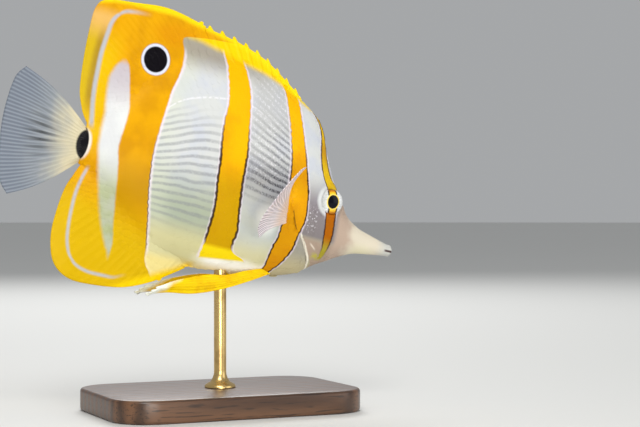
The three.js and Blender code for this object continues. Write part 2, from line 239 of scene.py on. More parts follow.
def relief(x, z):
    """How far the hide stands out at a spot on the side of the head, in millimetres."""
    if x < 70:
        return 0
    out = 0
    edge = x - stepped(GILL_EDGE, z)
    height = ease((z + 24) / 3) * (1 - ease((z - 3) / 4))
    out += 0.5 * height * ease(edge / 0.55) * (1 - ease((edge - 5) / 9))
    out -= 0.35 * height * math.exp(-(((edge + 0.45) / 0.6) ** 2))
    cheek = x - stepped(CHEEK_EDGE, z)
    out += 0.22 * ease((z + 18) / 3) * (1 - ease((z + 1) / 3)) * ease(cheek / 0.5) * (1 - ease(cheek / 6))
    eye = math.hypot(x - EYE_X, z - EYE_Z)
    out += 0.16 * math.exp(-(((eye - 5.2) / 0.5) ** 2))
    out -= 1.0 * (1 - ease((eye - 4.1) / 0.6))
    for nx, nz, radius in NOSTRILS:
        away = math.hypot(x - nx, z - nz)
        out += 0.16 * math.exp(-(((away - radius - 0.15) / 0.25) ** 2)) - 0.7 * (1 - ease(away / radius))
    muscle = math.hypot((x - BREAST_ROOT[0]) / 2.6, (z - BREAST_ROOT[1]) / 5)
    out += 0.7 * (1 - ease(muscle))
    return out


def link_piece(name, bm):
    """A finished bmesh as an object of the scene."""
    mesh = bpy.data.meshes.new(name)
    bm.to_mesh(mesh)
    bm.free()
    mesh.shade_smooth()
    piece = bpy.data.objects.new(name, mesh)
    bpy.context.scene.collection.objects.link(piece)
    return piece


def hide_spot(t, turn, radius=1):
    """The hide at a share of the way from lips to tail, and an angle round the section."""
    x, back, belly, half = section(t)
    middle = mix(belly, back, WIDEST)
    rise = math.sin(turn)
    reach = back - middle if rise > 0 else middle - belly
    z = middle + radius * reach * rise
    flank = math.cos(turn)
    edge = BACK_EDGE if rise > 0 else BELLY_EDGE
    y = radius * half * abs(flank) ** edge
    y += relief(x, z) * min(1, 3 * abs(flank)) if radius > 0.5 else 0
    return swung(x, math.copysign(y, flank), z)


def make_skin():
    bm = bmesh.new()
    bmesh.ops.create_uvsphere(bm, u_segments=SKIN_AROUND, v_segments=SKIN_ALONG, radius=1)
    for v in bm.verts:
        t = round(0.5 - math.asin(max(-1, min(1, v.co.z))) / math.pi, 6)
        pole = math.hypot(v.co.x, v.co.y) < 1e-4
        v.co = in_frame(*hide_spot(t, math.atan2(v.co.y, v.co.x), 0 if pole else 1))
    bmesh.ops.recalc_face_normals(bm, faces=bm.faces)
    return link_piece("skin", bm)


def open_mouth(skin):
    """Cuts the wedge between the jaws out of the closed snout."""
    bm = bmesh.new()
    bmesh.ops.create_cone(bm, cap_ends=True, segments=3, radius1=1, radius2=1, depth=8)
    for v in bm.verts:
        corner = v.co.x > 0.9
        up = 0 if corner else math.copysign(MOUTH_GAPE, v.co.y)
        v.co = in_frame(MOUTH_CORNER if corner else 128, v.co.z, MOUTH_Z + up)
    bmesh.ops.recalc_face_normals(bm, faces=bm.faces)
    wedge = link_piece("mouth wedge", bm)
    cut = skin.modifiers.new("mouth", "BOOLEAN")
    cut.object = wedge
    cut.solver = "EXACT"
    seen = skin.evaluated_get(bpy.context.evaluated_depsgraph_get())
    skin.data = bpy.data.meshes.new_from_object(seen)
    skin.modifiers.clear()
    bpy.data.objects.remove(wedge)


skin = make_skin()
open_mouth(skin)
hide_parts("trunk", "head", "snout", "upper_jaw", "lower_jaw", "tail_stalk")
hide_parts("gill_cover_right", "gill_cover_left")
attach(skin, "root")

# The colours of the hide, which run on unbroken over the scales and the upright fins: silvery
# white with four orange bands, each with a thin dark brown edge and a pearly border, a black
# spot ringed in pale blue on the soft fin, and a black bar on the stalk of the tail.

WHITE = (0.61, 0.62, 0.61)
# painted sheen: the bluish sheen of the silvery skin
PAINTED_BLUE_SHEEN = (0.56, 0.58, 0.63)
GREY_SHADE = (0.29, 0.25, 0.19)
ROW_GREY = (0.24, 0.25, 0.27)
FRONT_GREY = (0.20, 0.20, 0.215)
GREEN_GREY = (0.33, 0.38, 0.25)
PEARL = (0.80, 0.70, 0.77)
BELLY_WHITE = (0.96, 0.94, 0.86)
CREAM = (0.70, 0.63, 0.30)
SNOUT_BEIGE = (0.49, 0.37, 0.29)
SNOUT_CREAM = (0.69, 0.62, 0.49)
SNOUT_TIP = (0.55, 0.55, 0.51)
CHEEK = (0.21, 0.17, 0.19)
THROAT = (0.42, 0.30, 0.23)
ORANGE = (0.88, 0.45, 0.0)
AMBER = (0.76, 0.31, 0.002)
DEEP_AMBER = (0.60, 0.22, 0.002)
HIND_ORANGE = (0.72, 0.345, 0.0)
HIND_AMBER = (0.56, 0.24, 0.0)
HIND_GOLD = (0.48, 0.24, 0.0)
ANAL_YELLOW = (0.64, 0.41, 0.0)
BAND_GOLD = (0.52, 0.30, 0.0)
FIN_YELLOW = (0.86, 0.58, 0.0)
EDGE_YELLOW = (0.90, 0.67, 0.005)
REAR_MARGIN = (0.30, 0.19, 0.02)
MARGIN_RIM = (0.56, 0.39, 0.01)
MARGIN_PEACH = (0.72, 0.44, 0.14)
EYE_BAND = (0.42, 0.115, 0.0)
EYE_BAND_TOP = (0.78, 0.50, 0.01)
OLIVE = (0.40, 0.33, 0.03)
BROWN = (0.030, 0.012, 0.004)
BLUE_WHITE = (0.43, 0.46, 0.53)
BLACK = (0.003, 0.002, 0.004)
FRONT_SILVER = (0.46, 0.46, 0.46)
HIND_TINT = (0.64, 0.67, 0.52)
STREAK_GREY = (0.13, 0.13, 0.15)
DOT_BLACK = (0.03, 0.028, 0.034)
FLECK_WHITE = (0.84, 0.83, 0.87)
# painted highlight: the white of the glare near the breast fin
PAINTED_GLARE_WHITE = (0.92, 0.93, 0.88)
LINE_PALE = (0.9, 0.88, 0.92)
CHEEK_FLECK = (0.86, 0.84, 0.88)
EYE_SURROUND = (0.7, 0.71, 0.71)
GILL_GREY = (0.36, 0.33, 0.28)
GILL_CREAM = (0.58, 0.5, 0.28)
GILL_RIM = (0.94, 0.88, 0.74)
GILL_FOLD = (0.86, 0.78, 0.66)
MOSS = (0.5, 0.44, 0.06)
SNOUT_YELLOW = (0.88, 0.84, 0.5)
# painted shade: the dark of the mouth's opening
MOUTH_SHADE_DARK = (0.08, 0.05, 0.05)
EYE_BAND_MIDDLE = (0.5, 0.22, 0.01)
BAND_MIDDLE = (0.56, 0.23, 0)
FLAP_BROWN = (0.14, 0.05, 0.01)
SHOULDER_AMBER = (0.66, 0.27, 0)
HIND_YELLOW = (0.76, 0.48, 0)
BELLY_GOLD = (0.8, 0.66, 0.24)
BAR_WHITE = (0.72, 0.73, 0.72)
BAR_GREEN = (0.38, 0.42, 0.21)
BAR_LILAC = (0.52, 0.44, 0.48)
BAR_GREY = (0.54, 0.54, 0.57)
SPOT_BROWN = (0.34, 0.2, 0.12)
SPOT_BLUE = (0.66, 0.68, 0.8)
STALK_PALE = (0.8, 0.74, 0.7)
LOWEST = -50
TALLNESS = 110
HINDMOST = -10
LENGTH = 140
ROW_MEETING = -12
ROW_WIDEST_AT = 49
ROW_SPREAD = 28
ROW_LEAST = 1.2
ROW_MORE = 1.8
DOT_PITCH = 1.4

# Edges of the markings as (height, distance from the tail root).
BAND_1 = {
    "rear": [
        (-21, 94.4), (-17.3, 94.4), (-12, 94.1), (-8.5, 93.7), (-3.8, 93), (1, 92.6), (5.6, 92.1),
        (9.5, 89.4), (13.9, 87.5), (19.3, 86.6), (24.3, 86.4), (28.5, 85.2), (31.4, 83.3), (36, 80),
    ],
    "front": [
        (-21, 95.2), (-17.9, 96.4), (-15.6, 97), (-11.7, 97.5), (-5.3, 97.3), (-2.9, 97.2), (2, 97.4),
        (6.8, 97.6), (10.5, 93.3), (14.9, 91), (20.1, 89.3), (25.4, 87.9), (29.1, 86), (33, 83.5),
        (36, 81),
    ],
}
BAND_2 = {
    "rear": [
        (-32, 72), (-27.2, 74.4), (-19.4, 74.8), (-14.8, 75.7), (0.8, 75.2), (5.2, 75.1), (12.4, 74.5),
        (19.5, 73.2), (24.8, 72.2), (30.1, 71), (35.5, 69.9), (39.8, 68.3), (44, 67),
    ],
    "front": [
        (-32, 74.6), (-27.1, 77.9), (-24.9, 79.7), (-22.4, 81.1), (-18.7, 82.6), (-14.6, 83.2),
        (-11.2, 83.6), (-7.3, 84.4), (-1.9, 83.9), (3.4, 83), (8.7, 81.8), (13.9, 80.4), (19.1, 79.1),
        (24.4, 77.7), (29.7, 76.5), (35.6, 75.2), (42, 73),
    ],
}
BAND_3 = {
    "rear": [
        (-29, 49.4), (-22.4, 49.6), (-17, 49.7), (-9.9, 49.5), (-1.2, 48.4), (5.8, 47.9), (12.9, 47.1),
        (20, 46.8), (25.6, 47.4), (31.1, 47), (36.5, 46.2), (41.9, 45.2), (47, 43),
    ],
    "front": [
        (-30, 70), (-26.2, 65.6), (-24.2, 60.6), (-21, 59.6), (-18.3, 60), (-13.1, 59.2), (-7.9, 58.3),
        (-0.9, 57.5), (6.3, 57.3), (11.7, 57.1), (18.8, 56.3), (26, 55.7), (33.2, 54.9), (40.2, 52.8),
        (47, 50),
    ],
}
BAND_4_FRONT = [
    (-50, 40), (-38.4, 34.5), (-34.5, 31.8), (-28.5, 30.6), (-20.2, 28.2), (-11.8, 26), (-3.3, 24.6),
    (3.7, 24.2), (8.7, 24.5), (14.6, 25.1), (20.2, 25.9), (25.1, 26.6), (31.8, 28.6), (37.1, 29.6),
    (41, 29.2), (45, 28), (47, 34), (48.5, 46), (50, 60),
]
WHITE_BAR = {
    "rear": [
        (-37, 18.4), (-34.9, 18), (-31.7, 16.2), (-27, 14), (-20.5, 11.5), (-13.9, 9.6), (-4.1, 6.6),
        (1.9, 5.4), (6.2, 5.4), (11.8, 5.9), (17, 5.4), (23.9, 4.9), (28, 5.8), (31, 7.4), (33, 8.8),
    ],
    "front": [
        (-37, 18.5), (-34.8, 18.5), (-31.2, 18.7), (-24.4, 17.5), (-17.6, 16.3), (-10.9, 14.8),
        (-4.2, 13.5), (2.5, 12.2), (7.1, 12.6), (12.3, 13.2), (16.1, 13.4), (20, 13.1), (26, 12),
        (29.5, 11.2), (31.6, 10.2), (33, 9),
    ],
}
DORSAL_STRIPE = [
    (4, 2.4), (9.2, 2), (14.3, 1.2), (20.3, 0.6), (25.7, 0.4), (31.1, 0.3), (35.8, 0.6), (39.8, 1),
    (43.8, 1.6), (46.5, 3), (48.6, 5.4), (50, 9),
]
ANAL_STRIPE = [
    (-44, 9), (-41.5, 8.6), (-40.1, 7.2), (-38.2, 5.1), (-34.7, 3.4), (-28, 2.2), (-22, 2), (-15.6, 2.3),
    (-11.2, 3.1), (-7.5, 4.1),
]

# Lines along the fish as (distance from the tail root, height).
STRIPE_TOP_RUN = [(-10, 40), (0, 43), (3, 46.6), (5.4, 48.5), (8, 49.2), (12, 49.7), (18, 50), (130, 50)]
STRIPE_LOW_RUN = [
    (-10, -30), (4.7, -38.2), (6.9, -40.1), (10.1, -41.5), (14.9, -42.1), (20.5, -42.1), (26, -40.3),
    (130, -30),
]
BACK_LINE = [
    (-10, 51), (20, 51), (27, 46.4), (34, 46), (40, 44.9), (46, 44), (53, 42.3), (62, 40.6), (70, 37.6),
    (80, 33),
]
FIN_CREST = [
    (-10, 46), (-3, 49.6), (4.5, 51.2), (14, 51.6), (23, 52), (30.6, 51), (36, 50.2), (43, 49),
    (52, 47.2), (60, 44.2), (68, 39.8), (78, 34.6), (130, 10),
]
ANAL_FRONT = [(-10, -60), (20, -46), (28, -41.5), (34, -38.5), (42, -34.6), (50, -31), (130, -31)]
LATERAL_LINE = [
    (-10, 0), (22, 15), (28.3, 21.2), (31.9, 23.7), (36.3, 25.5), (40.3, 26.6), (44, 27.3), (50, 28),
    (57.2, 27.3), (61.1, 25.6), (66.8, 22.4), (71.5, 19.1), (80, 13), (130, 0),
]
OCELLUS = (19.6, 35.2, 4.25, 5.2)
STALK_BAR = (0.2, 0.4, 1.9, 5.8)
GILL_EDGE_PAINT = [
    (-14, 84.4), (-11.8, 82.4), (-9.6, 81), (-7.1, 79.6), (-5.2, 78.7), (-1, 77.6), (4, 77.2),
]
GILL_SKIN = [(-22, 92), (-16, 86.5), (-11.8, 82.4), (-6.9, 78.3), (0.1, 76.8), (6, 79)]
GILL_RIDGE = [
    (-26, 92), (-21.6, 90.8), (-20.2, 90.2), (-17.8, 88.4), (-15.4, 86.7), (-13.6, 85.1), (-12, 83.8),
    (-10, 83),
]


class Pattern:
    """A number, colour or place that nodes work out over the surface. Sums with it add nodes."""

    def __init__(self, socket):
        self.socket = socket

    def __add__(self, other):
        return calc("ADD", self, other)

    def __radd__(self, other):
        return calc("ADD", other, self)

    def __sub__(self, other):
        return calc("SUBTRACT", self, other)

    def __rsub__(self, other):
        return calc("SUBTRACT", other, self)

    def __mul__(self, other):
        return calc("MULTIPLY", self, other)

    def __rmul__(self, other):
        return calc("MULTIPLY", other, self)

    def __truediv__(self, other):
        return calc("DIVIDE", self, other)

    def __rtruediv__(self, other):
        return calc("DIVIDE", other, self)


def feed(socket, value):
    """A pattern is linked to a socket, and anything that is the same all over is set on it."""
    if isinstance(value, Pattern):
        value.socket.id_data.links.new(value.socket, socket)
    elif isinstance(value, tuple) and socket.type == "RGBA":
        socket.default_value = (*value, 1)
    else:
        socket.default_value = value


def add_node(tree, kind, inputs, **settings):
    made = tree.nodes.new(kind)
    for name, value in settings.items():
        setattr(made, name, value)
    for name, value in inputs.items():
        feed(made.inputs[name], value)
    return made


def beside(value, kind, inputs, output=0, **settings):
    """The result of a new node in the same material as a pattern."""
    return Pattern(add_node(value.socket.id_data, kind, inputs, **settings).outputs[output])


def calc(operation, *values):
    first = next(value for value in values if isinstance(value, Pattern))
    return beside(first, "ShaderNodeMath", dict(enumerate(values)), operation=operation)


def above(value, edge, soft):
    """0 below the edge, 1 above it, turning over a width of twice soft."""
    past = value - edge
    inputs = {"Value": past, "From Min": -soft, "From Max": soft}
    return beside(past, "ShaderNodeMapRange", inputs, interpolation_type="SMOOTHSTEP")


def below(value, edge, soft):
    return 1 - above(value, edge, soft)


def near(value, edge, width, soft):
    """1 within a width of the edge."""
    return below(calc("ABSOLUTE", value - edge), width, soft)


def most(*values):
    return functools.reduce(functools.partial(calc, "MAXIMUM"), values)


def bend(value, rows, low, span, out_low, out_span):
    """A smooth curve through (value, result) rows."""
    share = (value - low) / span
    made = add_node(share.socket.id_data, "ShaderNodeFloatCurve", {"Value": share})
    points = made.mapping.curves[0].points
    while len(points) < len(rows):
        points.new(0.5, 0.5)
    for point, (a, b) in zip(points, rows):
        point.location = ((a - low) / span, (b - out_low) / out_span)
        point.handle_type = "AUTO_CLAMPED"
    made.mapping.extend = "HORIZONTAL"
    made.mapping.update()
    return Pattern(made.outputs[0]) * out_span + out_low


def edge_at(z, rows):
    """The distance from the tail root at which an edge stands at a height."""
    return bend(z, rows, LOWEST, TALLNESS, HINDMOST, LENGTH)


def run_at(x, rows):
    """The height at which a line runs at a distance from the tail root."""
    return bend(x, rows, HINDMOST, LENGTH, LOWEST, TALLNESS)


def ripple(value):
    """1 where the value is a whole number, -1 half way between."""
    return calc("COSINE", value * math.tau)


def mottle(place, scale, detail=3):
    return beside(place, "ShaderNodeTexNoise", {"Scale": scale, "Detail": detail, "Vector": place}, "Fac")


def lay(under, over, mask, kind="RGBA"):
    """Lays a colour or a number over another where the mask is 1."""
    return beside(mask, "ShaderNodeMix", {"Factor": mask, "A": under, "B": over}, "Result", data_type=kind)


def bump(height, distance, strength):
    return beside(height, "ShaderNodeBump", {"Strength": strength, "Distance": distance, "Height": height})


def mapped(place, kind="POINT", **inputs):
    """A place moved, turned or stretched."""
    return beside(place, "ShaderNodeMapping", {"Vector": place, **inputs}, vector_type=kind)


def parts_of(place):
    made = add_node(place.socket.id_data, "ShaderNodeSeparateXYZ", {"Vector": place})
    return [Pattern(output) for output in made.outputs]


def object_place(material):
    return Pattern(add_node(material.node_tree, "ShaderNodeTexCoord", {}).outputs["Object"])


def new_material(name):
    material = bpy.data.materials.new(name)
    material.use_nodes = True
    return material


def dress(material, looks):
    """Gives a material its finish: what is the same all over is set on the shader, the rest is linked."""
    shader = material.node_tree.nodes["Principled BSDF"]
    for name, value in looks.items():
        feed(shader.inputs[name], value)
    return material


def fish_place(material):
    """The place on the fish in millimetres: x from the tail root, z above the middle line."""
    turn = {"Location": in_frame(0, 0, 0), "Rotation": (0, PITCH, 0), "Scale": (MM, MM, MM)}
    place = mapped(object_place(material), "TEXTURE", **turn)
    x, _, z = parts_of(place)
    return x, z, place


def scale_row(x, z):
    """The number of the row of scales at a place: rows are widest in the middle of the flank."""
    far = (x - ROW_WIDEST_AT) / ROW_SPREAD
    pitch = ROW_MORE / (far * far + 1) + ROW_LEAST
    return (z - ROW_MEETING) / pitch


def ring_of(x, z, centre, stretch=1):
    """The distance from the middle of a round or upright oval spot."""
    across = x - centre[0]
    up = (z - centre[1]) / stretch
    return calc("SQRT", across * across + up * up)


def flank_colours(x, z, place, row, head):
    """The silvery ground: grey lines between the rows of scales, cream low down, a white belly, a painted
    sheen and a painted highlight.
    """
    blotch = mottle(place, 0.12, 4)
    fine = mottle(place, 1.4, 2)
    # Painted sheen: random blotches of bluish sheen laid over the silvery ground.
    colour = lay(WHITE, PAINTED_BLUE_SHEEN, above(blotch, 0.52, 0.12))
    front = above(x, 56.5, 2.5) * below(x, 76, 3)
    grey = front * near(z, 4, 6, 8)
    colour = lay(colour, FRONT_GREY, grey * 0.7)
    colour = lay(colour, FRONT_SILVER, front * above(z, 16, 8) * 0.75)
    low = below(z, -4, 10)
    colour = lay(colour, GREEN_GREY, low * (0.8 - front * 0.45))
    hind = below(x, edge_at(z, BAND_4_FRONT) + 6, 4)
    colour = lay(colour, HIND_TINT, hind * 0.4)

    warp = (mottle(place, 0.1, 1) - 0.5) * 0.9
    line_at = row + warp
    between = above(ripple(line_at), 0.25, 0.75)
    zone = above(z, -20, 7) * below(z, 18, 8) * (1 - front) * (1 - head)
    zone = zone * above(fine, 0.28, 0.3) * above(blotch, 0.26, 0.24)
    colour = lay(colour, ROW_GREY, between * zone * 0.58)

    jitter = (mottle(place, 0.6, 3) - 0.5) * 4.5
    dots = x / DOT_PITCH + row * 0.5
    dots = ripple(dots + jitter)
    streaked = front * above(z, -4, 4) * below(z, 23, 8)
    darker = 0.45 + above(x, 64, 6) * 0.55
    streaked = streaked * between * above(fine, 0.4, 0.2) * darker
    colour = lay(colour, STREAK_GREY, streaked * 0.7)
    dark_dots = front * near(z, 2.5, 4.5, 4.5) * between * above(dots, 0.1, 0.6) * darker
    colour = lay(colour, DOT_BLACK, dark_dots * 0.8)
    flecks = below(ripple(line_at), -0.2, 0.5) * below(dots, 0.1, 0.6)
    flecks = flecks * front * above(z, 3, 4) * above(fine, 0.5, 0.16)
    colour = lay(colour, FLECK_WHITE, flecks * 0.5)
    # Painted highlight: a soft white glare on the front flank near the breast fin's root.
    painted_glare = below(ring_of(x, z, (69.5, -10.5), 1.3), 3.4, 2.6)
    colour = lay(colour, PAINTED_GLARE_WHITE, painted_glare * front * 0.8)

    lateral = near(z, run_at(x, LATERAL_LINE), 0.3, 0.35)
    lateral = lateral * above(x, 25, 4) * below(x, 62, 8)
    lateral = lateral * above(mottle(place, 0.9, 1), 0.4, 0.12)
    colour = lay(colour, LINE_PALE, lateral * 0.5)

    shade = above(z, 37.5, 5) * below(x, 60, 10)
    colour = lay(colour, GREY_SHADE, shade * 0.85)
    colour = lay(colour, CREAM, below(z, -20.5, 4.5) * 0.7)
    belly = below(z, -28.8 + blotch * 3.5, 1.6) * above(x, 50, 5)
    return lay(colour, BELLY_WHITE, belly * (1 - head))


def head_colours(x, z, place, head, under):
    """The lilac-grey cheek with its pale flecks, the cream ridge of the gill cover, and the snout with
    painted shade along the mouth.
    """
    silver_eye = below(ring_of(x, z, (EYE_X - 0.8, EYE_Z)), 5.7, 0.7)
    cheek = head * below(z, 4, 7) * above(z, -13.2, 1.2)
    colour = lay(under, CHEEK, cheek * 0.85)
    flecks = cheek * above(mottle(place, 1.4, 2), 0.63, 0.05) * near(z, -6.5, 4, 3)
    flecks = flecks * near(x, 86.5, 2.6, 2)
    colour = lay(colour, CHEEK_FLECK, flecks * 0.75)
    colour = lay(colour, EYE_SURROUND, silver_eye * head * 0.9)
    low = head * below(z, -13.2, 1.2)
    colour = lay(colour, THROAT, low * 0.9)
    ridge_at = edge_at(z, GILL_RIDGE)
    behind_ridge = below(x, ridge_at, 0.3)
    throat = behind_ridge * above(x, 76, 2) * below(z, -11.5, 1)
    colour = lay(colour, GILL_GREY, throat * 0.85)
    colour = lay(colour, GILL_CREAM, throat * below(z, -22, 4) * 0.85)
    ridge = near(x, ridge_at, 0.4, 0.3) * below(z, -11.8, 0.5)
    colour = lay(colour, GILL_RIM, ridge * 0.9)
    second = near(z, -15.8 + (90.4 - x) * 0.62, 0.3, 0.3)
    second = second * near(x, 90.4, 1.2, 0.8)
    colour = lay(colour, GILL_FOLD, second * 0.7)
    mossy = near(x, 93.2, 1.9, 1) * near(z, -18.9, 1, 0.8) * above(mottle(place, 1.1, 2), 0.4, 0.1)
    colour = lay(colour, MOSS, mossy * 0.85)

    snout = above(x, 98.8, 1.4)
    colour = lay(colour, SNOUT_BEIGE, snout)
    cloud = (mottle(place, 0.22, 2) - 0.5) * 8
    colour = lay(colour, SNOUT_CREAM, above(x, 106 + cloud, 3.5))
    under_snout = snout * below(z, -11.5, 2.5) * near(x, 112, 4, 4)
    colour = lay(colour, SNOUT_YELLOW, under_snout * 0.45)
    colour = lay(colour, SNOUT_TIP, above(x, 120, 3))
    # Painted shade: the line of the mouth and the cut between the jaws darkened.
    mouth_shade = above(x, 121.6, 0.6) * near(z, MOUTH_Z, 0.4, 0.2)
    return lay(colour, MOUTH_SHADE_DARK, mouth_shade)


def hide_colours(x, z, place):
    """All the markings, laid from the ground colour up."""
    row = scale_row(x, z)
    uneven = mottle(place, 0.8, 3) - 0.5
    xs = x + uneven * 0.5
    head = above(x, edge_at(z, GILL_SKIN), 1)
    step = (1 - head) * ripple(row) * 0.07
    xe = x + (uneven * 0.8 + step)
    blotch = mottle(place, 0.1, 4)
    colour = flank_colours(x, z, place, row, head)
    colour = head_colours(x, z, place, head, colour)

    def band(under, plan, fill, dark, wide, pearl):
        """One upright band: fill between its edges, then its dark edges and pearly borders."""
        rear, front = edge_at(z, plan["rear"]), edge_at(z, plan["front"])
        inside = above(xe, rear, 0.2) * below(xe, front, 0.2)
        border = above(xs, rear - 0.8, 0.4) * below(xs, front + 0.8, 0.4)
        painted = lay(under, PEARL, border * pearl)
        painted = lay(painted, fill, inside)
        edges = most(near(xe, rear, wide, 0.22), near(xe, front, wide, 0.22))
        return lay(painted, BROWN, edges * dark)

    shaded = above(blotch, 0.5, 0.14) * below(z, 25, 14)
    amber = lay(ORANGE, AMBER, shaded * 0.7)
    lower = below(z, 20, 14)

    fill = lay(EYE_BAND, EYE_BAND_TOP, above(z, 4, 3))
    fill = lay(fill, EYE_BAND_MIDDLE, near(z, 19, 3.5, 3.5) * 0.7)
    fill = lay(fill, OLIVE, below(z, -13.5, 3))
    banded = band(colour, BAND_1, fill, 0.9 * above(z, -16, 3), 0.3, above(z, -4, 3) * 0.55)
    colour = lay(colour, banded, above(z, -19.5, 0.6))
    deep = lay(amber, DEEP_AMBER, below(z, -6, 8) * 0.55)
    deep = lay(deep, BAND_MIDDLE, near(z, 7, 6, 6) * 0.7)
    flap = x - edge_at(z, GILL_EDGE_PAINT)
    colour = band(colour, BAND_2, deep, most(lower, 0.55), 0.1 + lower * 0.2, 0.7)
    flap_line = near(flap, 0, 0.15, 0.2) * near(z, -8.2, 3.2, 0.8)
    colour = lay(colour, FLAP_BROWN, flap_line * 0.8)
    foot = lay(amber, BAND_GOLD, below(z, 3, 8) * 0.8)
    foot = lay(foot, EDGE_YELLOW, below(z, -23.8, 1))
    strength = most(lower, 0.3) * above(z, -23, 2) * 0.95
    banded = band(colour, BAND_3, foot, strength, 0.1 + lower * 0.34, 0.7)
    colour = lay(colour, banded, above(z, -34.6 + x * 0.12, 0.5))

    edge = edge_at(z, BAND_4_FRONT)
    behind = below(xs, edge, 0.3)
    pearly = below(xs, edge + 0.9, 0.5)
    pearly = pearly * below(z, 41, 2.5)
    colour = lay(colour, PEARL, pearly * 0.7)
    hind = lay(HIND_ORANGE, HIND_AMBER, above(blotch, 0.53, 0.14) * 0.7)
    shoulder = below(ring_of(x, z, (26, 45.5), 0.45), 8.5, 4.5)
    hind = lay(hind, SHOULDER_AMBER, shoulder * 0.85)
    hind = lay(hind, HIND_GOLD, near(z, -11, 8, 8) * above(x, 14, 3) * 0.8)
    before_bar = below(x, 6.5, 3.5) * above(z, 0, 6) * below(z, 38, 7)
    hind = lay(hind, HIND_YELLOW, before_bar * 0.8)
    low_fin = below(z, -14 + x * -0.3, 8)
    hind = lay(hind, ANAL_YELLOW, low_fin * 0.9)
    colour = lay(colour, hind, behind)
    thin_edge = near(xe, edge, 0.16, 0.18) * below(z, 6, 10) * above(z, -30, 4)
    colour = lay(colour, BROWN, thin_edge * 0.85)
    top = above(z, run_at(x, BACK_LINE), 1.5)
    colour = lay(colour, FIN_YELLOW, top * (1 - behind))
    under_fin = below(z, -31, 2) * (1 - behind) * (1 - head)
    colour = lay(colour, BELLY_GOLD, under_fin * 0.8)
    under_fin = below(z, run_at(x, ANAL_FRONT), 1.6)
    colour = lay(colour, FIN_YELLOW, under_fin * below(x, 48.5, 1.5))
    crest = above(z, run_at(x, FIN_CREST), 1)
    colour = lay(colour, EDGE_YELLOW, crest * 0.85)

    bar = (
        above(xs, edge_at(z, WHITE_BAR["rear"]), 1) * below(xs, edge_at(z, WHITE_BAR["front"]), 0.45)
        * above(z, -36, 1.5) * below(z, 31.6, 1.6)
    )
    bar_white = lay(BAR_WHITE, BAR_GREEN, below(z, -8, 10))
    bar_white = lay(bar_white, BAR_LILAC, above(z, 20, 8))
    bar_white = lay(bar_white, BAR_GREY, above(blotch, 0.5, 0.15) * 0.4)
    colour = lay(colour, bar_white, bar)

    stripe_at = edge_at(z, DORSAL_STRIPE)
    upper = above(z, 7, 2)
    margin = below(x, stripe_at, 0.8) * above(z, 12, 6)
    tone = lay(MARGIN_RIM, REAR_MARGIN, above(x, stripe_at - 2.6, 1.2))
    tone = lay(tone, MARGIN_PEACH, above(z, 40, 5))
    colour = lay(colour, tone, margin * below(z, 47, 2.5) * 0.8)
    upright = near(x, stripe_at, 0.7, 0.55) * upper * below(z, 47.4, 1)
    along = near(z, run_at(x, STRIPE_TOP_RUN), 0.6, 0.6) * above(x, 3.4, 1) * below(x, 10, 6)
    hang = near(x, edge_at(z, ANAL_STRIPE), 0.5, 0.5) * above(z, -40.2, 1.2) * below(z, -7.5, 1.5)
    under = (
        near(z, run_at(x, STRIPE_LOW_RUN), 0.5, 0.5) * above(x, 5.6, 1.2) * below(x, 22, 5)
        * below(z, -36, 2)
    )
    colour = lay(colour, BLUE_WHITE, most(upright, along, hang, under) * 0.9)

    away = ring_of(x, z, OCELLUS, 1.08)
    colour = lay(colour, SPOT_BROWN, below(away, OCELLUS[3] + 0.2, 0.2) * 0.7)
    colour = lay(colour, SPOT_BLUE, below(away, OCELLUS[3] - 0.05, 0.25))
    colour = lay(colour, BLACK, below(away, OCELLUS[2], 0.25))

    stalk_x, stalk_z, stalk_half, stalk_tall = STALK_BAR
    before = ring_of(x, z, (stalk_x + 0.75, stalk_z), 2.5)
    colour = lay(colour, STALK_PALE, below(before, 2.1, 0.4) * 0.85)
    away = ring_of(x, z, (stalk_x, stalk_z), stalk_tall / stalk_half)
    colour = lay(colour, BLACK, below(away, stalk_half, 0.2))
    return colour


def make_hide_paint(name, grain_depth):
    """The hide's finish: moist, with a pearly glint and a fine grain."""
    material = new_material(name)
    x, z, place = fish_place(material)
    colour = hide_colours(x, z, place)
    grain = mottle(place, 3, 2)
    return dress(material, {
        "Base Color": colour,
        "Roughness": 0.36 + grain * 0.18,
        "Normal": bump(grain, 0.00012, grain_depth),
        "Specular IOR Level": 0.06,
        "Coat Weight": 0.03,
        "Coat Roughness": 0.25,
    })


hide_paint = make_hide_paint("banded hide", 0.5)
skin.data.materials.append(hide_paint)

# The upright fins on the back and before the tail: thin webs over spines and rays, thickened at
# the root where the hide and its scales run up onto them. Each is a sheet of two faces, with
# the rays raised in both, that grows out of the body's edge.

SINK = 2.2
SPINY_FIN = {
    "root": (78.5, 42.6),
    "rays": 9,
    "edge": [(76.2, 37.2), (68.2, 42.3), (60, 46.8), (51, 49.6), (43, 51), (34.4, 51.9)],
}
SOFT_FIN = {
    "root": (43.4, 2.6),
    "rays": 29,
    "edge": [
        (35.2, 51.8), (26, 53.55), (18, 54.05), (8, 52.55), (-1.5, 51), (-4.9, 47.4), (-5.4, 39),
        (-5, 27), (-3.9, 17.5), (-1.6, 11.2),
    ],
}
ANAL_FIN = {
    "root": (49, 3),
    "rays": 23,
    "edge": [
        (46.6, -33.4), (42, -36.6), (35, -41), (26, -44.6), (15, -46), (6, -45.6), (0, -41.4),
        (-2.8, -33), (-2.8, -24), (-1.6, -15.5), (0.4, -10.6),
    ],
}


@functools.lru_cache(maxsize=None)
def outline_at(x, column):
    """The back (column 1), belly (2) or half width (3) of the body over a place on its axis."""
    low, high = 0.0, 1.0
    for _ in range(30):
        t = (low + high) / 2
        if section(t)[0] > x:
            low = t
        else:
            high = t
    return section(low)[column]


